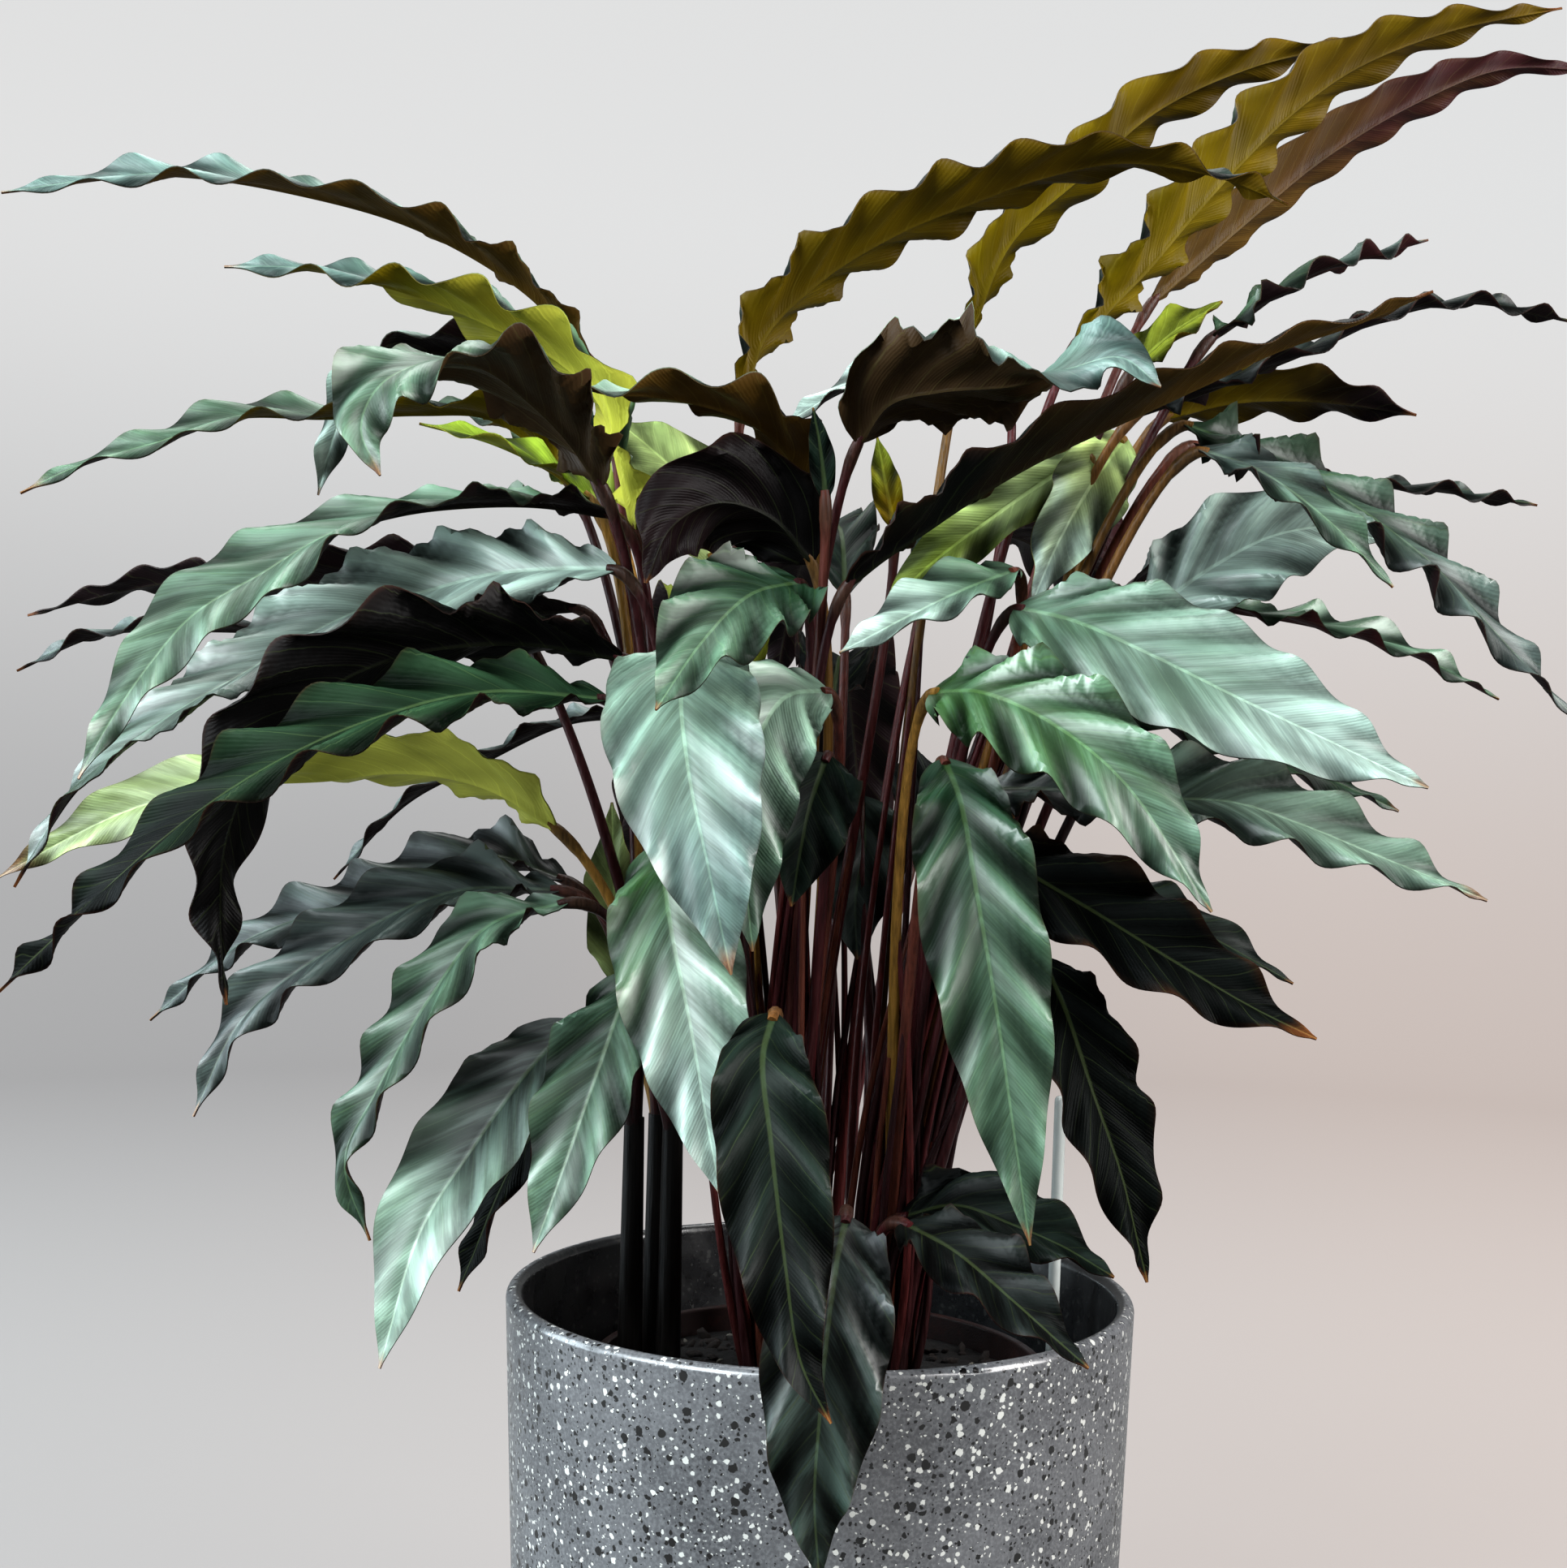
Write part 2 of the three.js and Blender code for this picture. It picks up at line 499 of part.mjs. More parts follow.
// A closed mesh through rings of points that go anticlockwise about the way they advance.
// Sides named in crossed are split along their other diagonal.
function skin(rings, crossed = []) {
  const count = rings[0].length;
  const corners = rings.flat().flatMap((p) => [p.x, p.y, p.z]);
  const faces = [];
  for (let i = 0; i < count - 2; i++) {
    faces.push(0, i + 2, i + 1);
  }
  for (let k = 0; k + 1 < rings.length; k++) {
    for (let i = 0; i < count; i++) {
      const next = (i + 1) % count;
      const a = k * count + i;
      const b = k * count + next;
      const c = b + count;
      const d = a + count;
      faces.push(...(crossed.includes(i) ? [a, b, d, b, c, d] : [a, b, c, a, c, d]));
    }
  }
  const last = (rings.length - 1) * count;
  for (let i = 0; i < count - 2; i++) {
    faces.push(last, last + i + 1, last + i + 2);
  }
  return new THREE.BufferGeometry()
    .setAttribute("position", new THREE.Float32BufferAttribute(corners, 3))
    .setIndex(faces);
}

function toSolid(geometry) {
  const bare = geometry.clone();
  bare.deleteAttribute("normal");
  bare.deleteAttribute("uv");
  const merged = mergeVertices(bare, 1e-4);
  return new wasm.Manifold(
    new wasm.Mesh({
      numProp: 3,
      vertProperties: merged.attributes.position.array,
      triVerts: new Uint32Array(merged.index.array),
    }),
  );
}

function toGeometry(solid) {
  const mesh = solid.getMesh();
  return new THREE.BufferGeometry()
    .setAttribute("position", new THREE.BufferAttribute(mesh.vertProperties, 3))
    .setIndex(new THREE.BufferAttribute(mesh.triVerts, 1));
}

// A lathed shape about the Z axis. The profile goes up the outside, from axis to axis.
function lathe(profile, sides) {
  const points = profile.map(([radius, height]) => new THREE.Vector2(radius, height));
  return new THREE.LatheGeometry(points, sides).rotateX(Math.PI / 2);
}

function planterGeometry() {
  const { rimRadius, footRadius, height, wall, floor, lip, footRound, sides } = planter;
  const profile = [
    [0, 0],
    [footRadius - footRound, 0],
    [footRadius - footRound * 0.3, footRound * 0.3],
    [footRadius, footRound],
    [rimRadius, height - lip],
    [rimRadius - lip * 0.3, height - lip * 0.3],
    [rimRadius - lip, height],
    [rimRadius - wall + lip, height],
    [rimRadius - wall + lip * 0.3, height - lip * 0.3],
    [rimRadius - wall, height - lip],
    [footRadius - wall, floor + footRound],
    [footRadius - wall - footRound, floor],
    [0, floor],
  ];
  return lathe(profile, sides);
}

const nurseryBase = planter.floor + seatGap;
const nurseryTop = nurseryBase + nursery.height;
const soilTop = nurseryTop - soil.belowRim;

// The nursery pot's inside radius at a height.
function nurseryInside(height) {
  const share = (height - nurseryBase) / nursery.height;
  const outside = THREE.MathUtils.lerp(nursery.footRadius, nursery.rimRadius, share);
  return outside - nursery.rimProud - nursery.wall;
}

function nurseryGeometry() {
  const { rimRadius, footRadius, wall, floor, rimBand, rimProud, sides } = nursery;
  const bandFoot = nurseryTop - rimBand;
  const insideFloor = nurseryBase + floor;
  const shell = toSolid(
    lathe(
      [
        [0, nurseryBase],
        [footRadius - rimProud, nurseryBase],
        [nurseryInside(bandFoot) + wall, bandFoot],
        [rimRadius, bandFoot],
        [rimRadius, nurseryTop],
        [nurseryInside(nurseryTop), nurseryTop],
        [nurseryInside(insideFloor), insideFloor],
        [0, insideFloor],
      ],
      sides,
    ),
  );
  const holes = Array.from({ length: nursery.drains }, (_, i) => {
    const turn = ((i + 0.5) * 2 * Math.PI) / nursery.drains;
    const hole = new THREE.CylinderGeometry(nursery.drainRadius, nursery.drainRadius, 4 * floor, 10);
    hole.rotateX(Math.PI / 2);
    hole.translate(
      nursery.drainCircle * Math.cos(turn),
      nursery.drainCircle * Math.sin(turn),
      nurseryBase,
    );
    return toSolid(hole);
  });
  return toGeometry(holes.reduce((left, hole) => left.subtract(hole), shell));
}

// The height of the soil's low crown at a distance from its middle.
function soilHeight(distance) {
  const share = Math.min(distance / nurseryInside(soilTop), 1);
  return soilTop + soil.crown * (1 - share * share);
}

function soilGeometry() {
  const edge = nurseryInside(soilTop) - seatGap;
  const foot = nurseryBase + nursery.floor + seatGap;
  const profile = [[0, foot], [nurseryInside(foot) - seatGap, foot]];
  for (let i = 0; i < soil.moundSteps; i++) {
    const distance = edge * (1 - i / soil.moundSteps);
    profile.push([distance, soilHeight(distance)]);
  }
  profile.push([0, soilHeight(0)]);
  const ground = toSolid(lathe(profile, nursery.sides));
  const holes = Object.values(clumps).map(({ middle, radius }) => {
    const hole = lathe(
      [
        [0, soilTop - soil.holeDepth],
        [radius + seatGap, soilTop - soil.holeDepth],
        [radius + seatGap, soilTop + soil.holeDepth],
        [0, soilTop + soil.holeDepth],
      ],
      stalk.collarSides,
    );
    return toSolid(hole.translate(...middle, 0));
  });
  return toGeometry(holes.reduce((left, hole) => left.subtract(hole), ground));
}

// A tube along a curve, whose radius follows the distance from its start.
function tube(curve, sides, distances, radiusAt) {
  const length = curve.getLength();
  let side = new THREE.Vector3(1, 0, 0);
  const rings = distances.map((distance) => {
    const share = distance / length;
    const along = curve.getTangentAt(share);
    side = side.clone().addScaledVector(along, -side.dot(along)).normalize();
    const other = new THREE.Vector3().crossVectors(along, side);
    const middle = curve.getPointAt(share);
    const radius = radiusAt(distance, length);
    return Array.from({ length: sides }, (_, i) => {
      const turn = (2 * Math.PI * i) / sides;
      return middle
        .clone()
        .addScaledVector(side, radius * Math.cos(turn))
        .addScaledVector(other, radius * Math.sin(turn));
    });
  });
  return skin(rings);
}

function rodGeometry() {
  const foot = new THREE.Vector3(...rod.foot, planter.floor + seatGap);
  const top = new THREE.Vector3(...rod.top, rod.height);
  const line = new THREE.LineCurve3(foot, top);
  return tube(line, rod.sides, [0, line.getLength()], () => rod.radius);
}

function ribCurve(leaf) {
  return new THREE.CatmullRomCurve3(leaf.rib.map(vector), false, "centripetal");
}

// Where a clump's stalks start: in the tops of its poles in turn, or spread over its collar.
// There each leaf, from the lowest up, takes the free place nearest to the side it hangs on.
function stalkFeet({ middle, radius, poles }, grown) {
  if (poles.length) {
    const top = soilTop + pole.height - pole.grip;
    return grown.map((_, i) => new THREE.Vector3(...poles[i % poles.length], top));
  }
  const free = grown.map((_, i) => {
    const out = (radius - 2.5 * stalk.thick) * Math.sqrt((i + 0.5) / grown.length);
    const turn = stalk.spread * i;
    return new THREE.Vector3(
      middle[0] + out * Math.cos(turn),
      middle[1] + out * Math.sin(turn),
      soilTop - stalk.sink,
    );
  });
  return grown.map((leaf, i) => {
    const neck = vector(leaf.rib[0]);
    const wanted = new THREE.Vector3(neck.x - middle[0], neck.y - middle[1], 0);
    wanted.setLength(radius * (1 - i / grown.length));
    wanted.add(new THREE.Vector3(...middle, soilTop - stalk.sink));
    free.sort((one, two) => one.distanceTo(wanted) - two.distanceTo(wanted));
    return free.shift();
  });
}

// A stalk from its foot to a leaf's neck, ending in the swollen joint.
function stalkGeometry(leaf, foot, fused) {
  const start = ribCurve(leaf).getTangentAt(0);
  const neck = vector(leaf.rib[0]).addScaledVector(start, fused ? stalk.join : -seatGap);
  const rise = neck.z - foot.z;
  const curve = new THREE.CubicBezierCurve3(
    foot,
    foot.clone().add(new THREE.Vector3(0, 0, stalk.upright * rise)),
    neck.clone().addScaledVector(start, -stalk.bend),
    neck,
  );
  const length = curve.getLength();
  const distances = [];
  for (let i = 0; i < stalk.steps; i++) {
    distances.push(((length - stalk.jointLength) * i) / (stalk.steps - 1));
  }
  distances.push(length - stalk.jointLength * 0.7, length);
  return tube(curve, stalk.sides, distances, (distance) => {
    if (distance > length - stalk.jointLength + 1) return stalk.jointRadius;
    return THREE.MathUtils.lerp(stalk.thick, stalk.thin, Math.sqrt(distance / length));
  });
}

// The way a leaf's upper side looks at a share of its length, between the ways that are given.
function faceAt(leaf, share) {
  const spot = share * (leaf.faces.length - 1);
  const i = Math.min(Math.floor(spot), leaf.faces.length - 2);
  return vector(leaf.faces[i]).lerp(vector(leaf.faces[i + 1]), spot - i);
}

// A blade: rings of six points, three on each face, that follow the rib. Its edges are waved.
function bladeGeometry(leaf) {
  const curve = ribCurve(leaf);
  const waves = Math.max(2, Math.round(curve.getLength() / blade.waveLength));
  const steps = 2 * waves + 1;
  const rings = [];
  for (let i = 0; i <= steps; i++) {
    const share = i / steps;
    const along = curve.getTangentAt(share);
    const side = new THREE.Vector3().crossVectors(along, faceAt(leaf, share)).normalize();
    const up = new THREE.Vector3().crossVectors(side, along);
    const swell = Math.sin(Math.PI * share ** blade.widest) ** blade.fullness;
    const least = i === 0 ? blade.neckWidth : blade.tipWidth;
    const half = Math.max(leaf.width * swell, least) / 2;
    const wave = i % 2 === 0 ? 1 : -1;
    const height = i === 0 || i === steps ? 0 : leaf.width * blade.waveHeight * wave;
    const rib = curve.getPointAt(share);
    const ribHalf = THREE.MathUtils.lerp(blade.ribThickness, blade.edgeThickness, share) / 2;
    const edgeHalf = blade.edgeThickness / 2;
    const place = (across, lift) =>
      rib.clone().addScaledVector(side, across).addScaledVector(up, lift);
    const rise = half * (leaf.fold ?? blade.fold) * (1 - 0.4 * share);
    rings.push([
      place(half, rise + height + edgeHalf),
      place(half, rise + height - edgeHalf),
      place(0, -ribHalf),
      place(-half, rise - height - edgeHalf),
      place(-half, rise - height + edgeHalf),
      place(0, ribHalf),
    ]);
  }
  return skin(rings, [2, 5]);
}

// A clump: its collar in the soil, every stalk that rises from it and its small leaves.
function clumpGeometry(name) {
  const clump = clumps[name];
  const { middle, radius, poles } = clump;
  const collar = lathe(
    [
      [0, soilTop - soil.holeDepth + seatGap],
      [radius, soilTop - soil.holeDepth + seatGap],
      [radius, soilTop],
      [radius * 0.8, soilTop + stalk.collarRise],
      [0, soilTop + stalk.collarRise],
    ],
    stalk.collarSides,
  );
  const parts = [toSolid(collar.translate(...middle, 0))];
  for (const [x, y] of poles) {
    const line = new THREE.LineCurve3(
      new THREE.Vector3(x, y, soilTop - stalk.sink),
      new THREE.Vector3(x, y, soilTop + pole.height),
    );
    const reach = line.getLength();
    const radiusAt = (distance) =>
      THREE.MathUtils.lerp(pole.footRadius, pole.topRadius, distance / reach);
    parts.push(toSolid(tube(line, pole.sides, [0, reach], radiusAt)));
  }
  const grown = [...Object.values(leaves), ...smallLeaves]
    .filter((leaf) => leaf.clump === name)
    .sort((one, two) => one.rib[0][2] - two.rib[0][2]);
  const feet = stalkFeet(clump, grown);
  grown.forEach((leaf, i) => {
    const fused = smallLeaves.includes(leaf);
    parts.push(toSolid(stalkGeometry(leaf, feet[i], fused)));
    if (fused) parts.push(toSolid(bladeGeometry(leaf)));
  });
  const whole = parts.reduce((sum, part) => sum.add(part));
  // Stalks that lie together can close off a hollow between them, which is left filled.
  const filled = whole.decompose().filter((body) => body.volume() > 0);
  return toGeometry(wasm.Manifold.compose(filled).simplify(stalk.tidy));
}

const plant = new THREE.Group();

function addPiece(name, geometry, look) {
  const piece = new THREE.Mesh(geometry, new THREE.MeshStandardMaterial(look));
  piece.name = name;
  plant.add(piece);
}

addPiece("outer_pot", planterGeometry(), finish.planterGlaze);
addPiece("nursery_pot", nurseryGeometry(), finish.nurseryPlastic);
addPiece("soil", soilGeometry(), finish.pottingSoil);
addPiece("clear_rod", rodGeometry(), finish.clearPlastic);
for (const name of Object.keys(clumps)) {
  addPiece("stems_" + name, clumpGeometry(name), finish.stalkRed);
}
for (const [name, leaf] of Object.entries(leaves)) {
  addPiece("leaf_" + name, bladeGeometry(leaf), finish[leaf.tone]);
}

export default plant;
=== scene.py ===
import math
import random

import bmesh
import bpy
from mathutils import Matrix, Vector, noise


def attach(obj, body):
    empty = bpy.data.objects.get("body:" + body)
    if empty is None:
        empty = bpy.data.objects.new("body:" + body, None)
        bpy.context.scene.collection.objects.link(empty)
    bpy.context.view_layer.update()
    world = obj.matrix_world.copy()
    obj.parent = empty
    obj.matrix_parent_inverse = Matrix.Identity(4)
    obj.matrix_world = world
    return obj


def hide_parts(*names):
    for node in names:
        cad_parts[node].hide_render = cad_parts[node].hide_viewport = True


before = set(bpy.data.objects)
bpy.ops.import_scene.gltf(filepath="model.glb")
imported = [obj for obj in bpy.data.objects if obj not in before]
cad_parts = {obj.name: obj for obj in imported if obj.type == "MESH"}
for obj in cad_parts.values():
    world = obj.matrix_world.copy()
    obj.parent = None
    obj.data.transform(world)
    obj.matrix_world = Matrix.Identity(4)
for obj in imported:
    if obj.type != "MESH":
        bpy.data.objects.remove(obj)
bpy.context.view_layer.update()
mm = 0.001  # the settings give lengths in millimetres, and the scene is in metres
upright = Vector((0, 0, 1))
print("frame loaded:", len(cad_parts), "nodes")


# Every object stands straight in the scene's own collection
def addObject(name, data):
    made = bpy.data.objects.new(name, data)
    bpy.context.scene.collection.objects.link(made)
    return made


# Camera, at the photograph's viewing angle: its place in metres and its roll in degrees
camera = {"place": (-0.0164, -0.729, 0.362), "roll": 1.2, "lens": 47.3, "sensor": 36}


def addCamera():
    eye = addObject("camera", bpy.data.cameras.new("camera"))
    eye.data.lens = camera["lens"]
    eye.data.sensor_width = camera["sensor"]
    eye.data.sensor_fit = "HORIZONTAL"
    level = Matrix.Rotation(math.radians(90), 4, "X")
    roll = Matrix.Rotation(math.radians(camera["roll"]), 4, "Z")
    eye.matrix_world = Matrix.Translation(camera["place"]) @ level @ roll
    bpy.context.scene.camera = eye


addCamera()


# A screen colour such as "7a7d7c" as the linear colour that Blender works in
def paint(code):
    parts = [int(code[i : i + 2], 16) / 255 for i in (0, 2, 4)]
    linear = [c / 12.92 if c <= 0.04045 else ((c + 0.055) / 1.055) ** 2.4 for c in parts]
    return (*linear, 1.0)


def ease(low, high, value):
    share = min(max((value - low) / (high - low), 0), 1)
    return share * share * (3 - 2 * share)


def blend(one, other, share):
    return tuple(a + (b - a) * share for a, b in zip(one, other))


# Short ways to put nodes in a tree: a socket is linked, and anything else is set
def put(tree, kind, inputs=None, **settings):
    node = tree.nodes.new("ShaderNode" + kind)
    for key, value in settings.items():
        setattr(node, key, value)
    for key, value in (inputs or {}).items():
        if isinstance(value, bpy.types.NodeSocket):
            tree.links.new(value, node.inputs[key])
        else:
            node.inputs[key].default_value = value
    return node


def objectPlace(tree):
    return put(tree, "TexCoord").outputs["Object"]


def readLayer(tree, name, gives="Fac"):
    return put(tree, "Attribute", attribute_name=name).outputs[gives]


def calc(tree, operation, *terms):
    return put(tree, "Math", dict(enumerate(terms)), operation=operation).outputs[0]


def calcVector(tree, operation, *terms, gives="Vector"):
    return put(tree, "VectorMath", dict(enumerate(terms)), operation=operation).outputs[gives]


def fade(tree, value, start, end, low=0.0, high=1.0):
    inputs = {"Value": value, "From Min": start, "From Max": end, "To Min": low, "To Max": high}
    return put(tree, "MapRange", inputs, interpolation_type="SMOOTHSTEP").outputs[0]


def mixTone(tree, share, one, other):
    return put(tree, "Mix", {0: share, 6: one, 7: other}, data_type="RGBA").outputs[2]


def scaleTone(tree, tone, share):
    return put(tree, "VectorMath", {0: tone, "Scale": share}, operation="SCALE").outputs[0]


def noiseOn(tree, vector, scale, detail=2.0, roughness=0.5):
    inputs = {"Vector": vector, "Scale": scale, "Detail": detail, "Roughness": roughness}
    return put(tree, "TexNoise", inputs).outputs["Fac"]


def newGroup(name, takes, gives):
    group = bpy.data.node_groups.new(name, "ShaderNodeTree")
    for label, kind in takes.items():
        group.interface.new_socket(label, in_out="INPUT", socket_type="NodeSocket" + kind)
    for label, kind in gives.items():
        group.interface.new_socket(label, in_out="OUTPUT", socket_type="NodeSocket" + kind)
    entry = group.nodes.new("NodeGroupInput").outputs
    leave = group.nodes.new("NodeGroupOutput").inputs
    return group, entry, leave


def useGroup(tree, group, **inputs):
    return put(tree, "Group", inputs, node_tree=group).outputs


# A material with one Principled shader. Fixed numbers are set on the shader's own sockets.
def newFinish(name, fixed):
    finish = bpy.data.materials.new(name)
    finish.use_nodes = True
    tree = finish.node_tree
    tree.nodes.clear()
    out = tree.nodes.new("ShaderNodeOutputMaterial")
    shader = put(tree, "BsdfPrincipled", fixed)
    tree.links.new(shader.outputs[0], out.inputs[0])
    return finish, tree, shader


def feed(tree, shader, label, socket):
    tree.links.new(socket, shader.inputs[label])


def feedBump(tree, shader, height, distance, strength=1.0):
    inputs = {"Height": height, "Distance": distance, "Strength": strength}
    feed(tree, shader, "Normal", put(tree, "Bump", inputs).outputs[0])


# Short ways to make an object of a bmesh, and to hand it over as a piece
def meshObject(name, mesh, finishes=()):
    data = bpy.data.meshes.new(name)
    mesh.to_mesh(data)
    mesh.free()
    for finish in finishes:
        data.materials.append(finish)
    return addObject(name, data)


def newPiece(name, mesh, finishes, nodes, slotName):
    piece = meshObject(name, mesh, finishes)
    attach(piece, "root")
    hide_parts(*nodes)
    return piece


def smoothFaces(mesh, sharpFrom=50):
    for face in mesh.faces:
        face.smooth = True
    for edge in mesh.edges:
        if len(edge.link_faces) == 2 and edge.calc_face_angle(0) > math.radians(sharpFrom):
            edge.smooth = False


# A full turn of a profile, given in millimetres from the axis or back to it
def spinProfile(profile, turns):
    mesh = bmesh.new()
    verts = [mesh.verts.new((radius * mm, 0, height * mm)) for radius, height in profile]
    edges = [mesh.edges.new(pair) for pair in zip(verts, verts[1:])]
    bmesh.ops.spin(mesh, geom=verts + edges, cent=(0, 0, 0), axis=(0, 0, 1), angle=2 * math.pi,
                   steps=turns, use_merge=True)
    bmesh.ops.remove_doubles(mesh, verts=mesh.verts, dist=0.01 * mm)
    bmesh.ops.recalc_face_normals(mesh, faces=mesh.faces)
    return mesh


# Points of a round, from one angle to another
def roundCorner(middle, radius, start, end, count=6):
    turns = [math.radians(start + (end - start) * i / count) for i in range(count + 1)]
    return [(middle[0] + radius * math.cos(a), middle[1] + radius * math.sin(a)) for a in turns]


# A smooth curve through points: the same one that the solids follow. Its length is measured in
# short straight steps, so that a part of the length can be found on it.
curveSteps = 200


def smoothCurve(points):
    knots = [Vector(point) * mm for point in points]
    knots = [2 * knots[0] - knots[1], *knots, 2 * knots[-1] - knots[-2]]

    def atShare(share):
        spot = share * (len(knots) - 3)
        i = min(int(spot), len(knots) - 4)
        w = spot - i
        p0, p1, p2, p3 = knots[i : i + 4]
        d0, d1, d2 = [math.sqrt((b - a).length) for a, b in ((p0, p1), (p1, p2), (p2, p3))]
        t1 = ((p1 - p0) / d0 - (p2 - p0) / (d0 + d1) + (p2 - p1) / d1) * d1
        t2 = ((p2 - p1) / d1 - (p3 - p1) / (d1 + d2) + (p3 - p2) / d2) * d1
        bend, twist = 3 * (p2 - p1) - 2 * t1 - t2, 2 * (p1 - p2) + t1 + t2
        return p1 + t1 * w + bend * w**2 + twist * w**3

    marks = [atShare(i / curveSteps) for i in range(curveSteps + 1)]
    reach = [0.0]
    for a, b in zip(marks, marks[1:]):
        reach.append(reach[-1] + (b - a).length)

    def shareAt(part):
        wanted = part * reach[-1]
        i = next((k for k in range(curveSteps) if reach[k + 1] >= wanted), curveSteps - 1)
        return min((i + (wanted - reach[i]) / (reach[i + 1] - reach[i])) / curveSteps, 1)

    def placeAt(part):
        return atShare(shareAt(part))

    def headingAt(part):
        share = shareAt(part)
        return (atShare(min(share + 1e-4, 1)) - atShare(max(share - 1e-4, 0))).normalized()

    return placeAt, headingAt, reach[-1]


# A closed tube along a path, rolled from a grid
def rollTube(mesh, path, radii, sides, tones=None, toneLayer=None):
    last = len(path) - 1
    across = Vector((1, 0, 0))
    rings = []
    for i, middle in enumerate(path):
        heading = (path[min(i + 1, last)] - path[max(i - 1, 0)]).normalized()
        across = (across - heading * across.dot(heading)).normalized()
        rings.append((middle, across, heading.cross(across)))
    made = bmesh.ops.create_grid(mesh, x_segments=sides, y_segments=last, size=1)["verts"]
    for vert in made:
        turn = math.pi * (vert.co.x + 1)
        row = round((vert.co.y + 1) / 2 * last)
        middle, one, other = rings[row]
        vert.co = middle + (one * math.cos(turn) + other * math.sin(turn)) * radii[row]
        if toneLayer:
            vert[toneLayer] = tones[row]


# Merges each rolled tube's seam and closes its ends
def closeTubes(mesh):
    bmesh.ops.remove_doubles(mesh, verts=mesh.verts, dist=0.002 * mm)
    rims = [edge for edge in mesh.edges if edge.is_boundary]
    bmesh.ops.holes_fill(mesh, edges=rims, sides=0)
    bmesh.ops.recalc_face_normals(mesh, faces=mesh.faces)


# Speckles: irregular flecks of one size, some of them left out
fleck = {"warpScale": 620.0, "warp": 0.0016, "smallest": 0.25, "softness": 0.05}


def makeSpeckGroup():
    takes = {"Scale": "Float", "Size": "Float", "Share": "Float"}
    group, entry, leave = newGroup("speckles", takes, {"Mask": "Float"})
    place = objectPlace(group)
    warpInputs = {"Vector": place, "Scale": fleck["warpScale"], "Detail": 2.0}
    warp = put(group, "TexNoise", warpInputs).outputs["Color"]
    spot = calcVector(group, "ADD", place, scaleTone(group, warp, fleck["warp"]))
    cells = put(group, "TexVoronoi", {"Vector": spot, "Scale": entry["Scale"]}).outputs
    dice = put(group, "SeparateColor", {"Color": cells["Color"]}).outputs
    chosen = calc(group, "LESS_THAN", dice[0], entry["Share"])
    share = calc(group, "MULTIPLY_ADD", dice[1], 1 - fleck["smallest"], fleck["smallest"])
    edge = calc(group, "SUBTRACT", calc(group, "MULTIPLY", entry["Size"], share), cells["Distance"])
    mask = calc(group, "MULTIPLY", fade(group, edge, 0.0, fleck["softness"]), chosen)
    group.links.new(mask, leave["Mask"])
    return group


speckles = makeSpeckGroup()

# Planter: glazed and speckled, with a rounded lip
planter = {
    "rimRadius": 110, "footRadius": 103, "height": 185, "wall": 6, "floor": 9, "footRound": 4,
    "flatFoot": 60, "flatFloor": 50, "wallSteps": 8, "turns": 192,
    "glaze": "56575a", "deep": "3f4043", "grain": "86888a", "inside": "121213",
    "darkFrom": 3.4,  # how far inside the outer face the painted shade of the inside begins
    "white": "c0c1bc", "black": "030303",
    "specks": [  # scale, size, share of the cells that have one, tone
        (820.0, 0.42, 0.3, "black"), (740.0, 0.38, 0.25, "white"), (470.0, 0.44, 0.36, "black"),
        (430.0, 0.42, 0.3, "white"), (310.0, 0.42, 0.3, "white"), (260.0, 0.46, 0.4, "black"),
    ],
}


def glazeFinish():
    fixed = {"Coat Weight": 0.6, "Coat Roughness": 0.12, "Coat IOR": 1.5}
    finish, tree, shader = newFinish("speckledGlaze", fixed)
    place = objectPlace(tree)
    cloud = noiseOn(tree, place, 22.0, 4.0, 0.6)
    tone = mixTone(tree, fade(tree, cloud, 0.3, 0.7), paint(planter["deep"]), paint(planter["glaze"]))
    grain = noiseOn(tree, place, 900.0, 2.0)
    tone = mixTone(tree, fade(tree, grain, 0.35, 0.75, 0.0, 0.35), tone, paint(planter["grain"]))
    for scale, size, share, code in planter["specks"]:
        mask = useGroup(tree, speckles, Scale=scale, Size=size, Share=share)["Mask"]
        tone = mixTone(tree, mask, tone, paint(planter[code]))
    # painted shade: from a little inside the outer face, the inner faces turn a near-black tone
    flat = calcVector(tree, "MULTIPLY", place, (1.0, 1.0, 0.0))
    out = calcVector(tree, "LENGTH", flat, gives="Value")
    height = put(tree, "SeparateXYZ", {0: place}).outputs[2]
    slope = (planter["rimRadius"] - planter["footRadius"]) / planter["height"]
    skin = calc(tree, "MULTIPLY_ADD", height, slope, (planter["footRadius"] - planter["darkFrom"]) * mm)
    depth = fade(tree, calc(tree, "SUBTRACT", skin, out), -0.6 * mm, 0.6 * mm, 0.0, 0.95)
    tone = mixTone(tree, depth, tone, paint(planter["inside"]))
    feed(tree, shader, "Base Color", tone)
    feed(tree, shader, "Roughness", fade(tree, noiseOn(tree, place, 60.0, 3.0), 0.3, 0.7, 0.22, 0.4))
    swell = noiseOn(tree, place, 35.0, 1.0)
    pits = noiseOn(tree, place, 520.0, 2.0)
    feedBump(tree, shader, calc(tree, "MULTIPLY_ADD", pits, 0.12, swell), 0.0012, 0.5)
    return finish


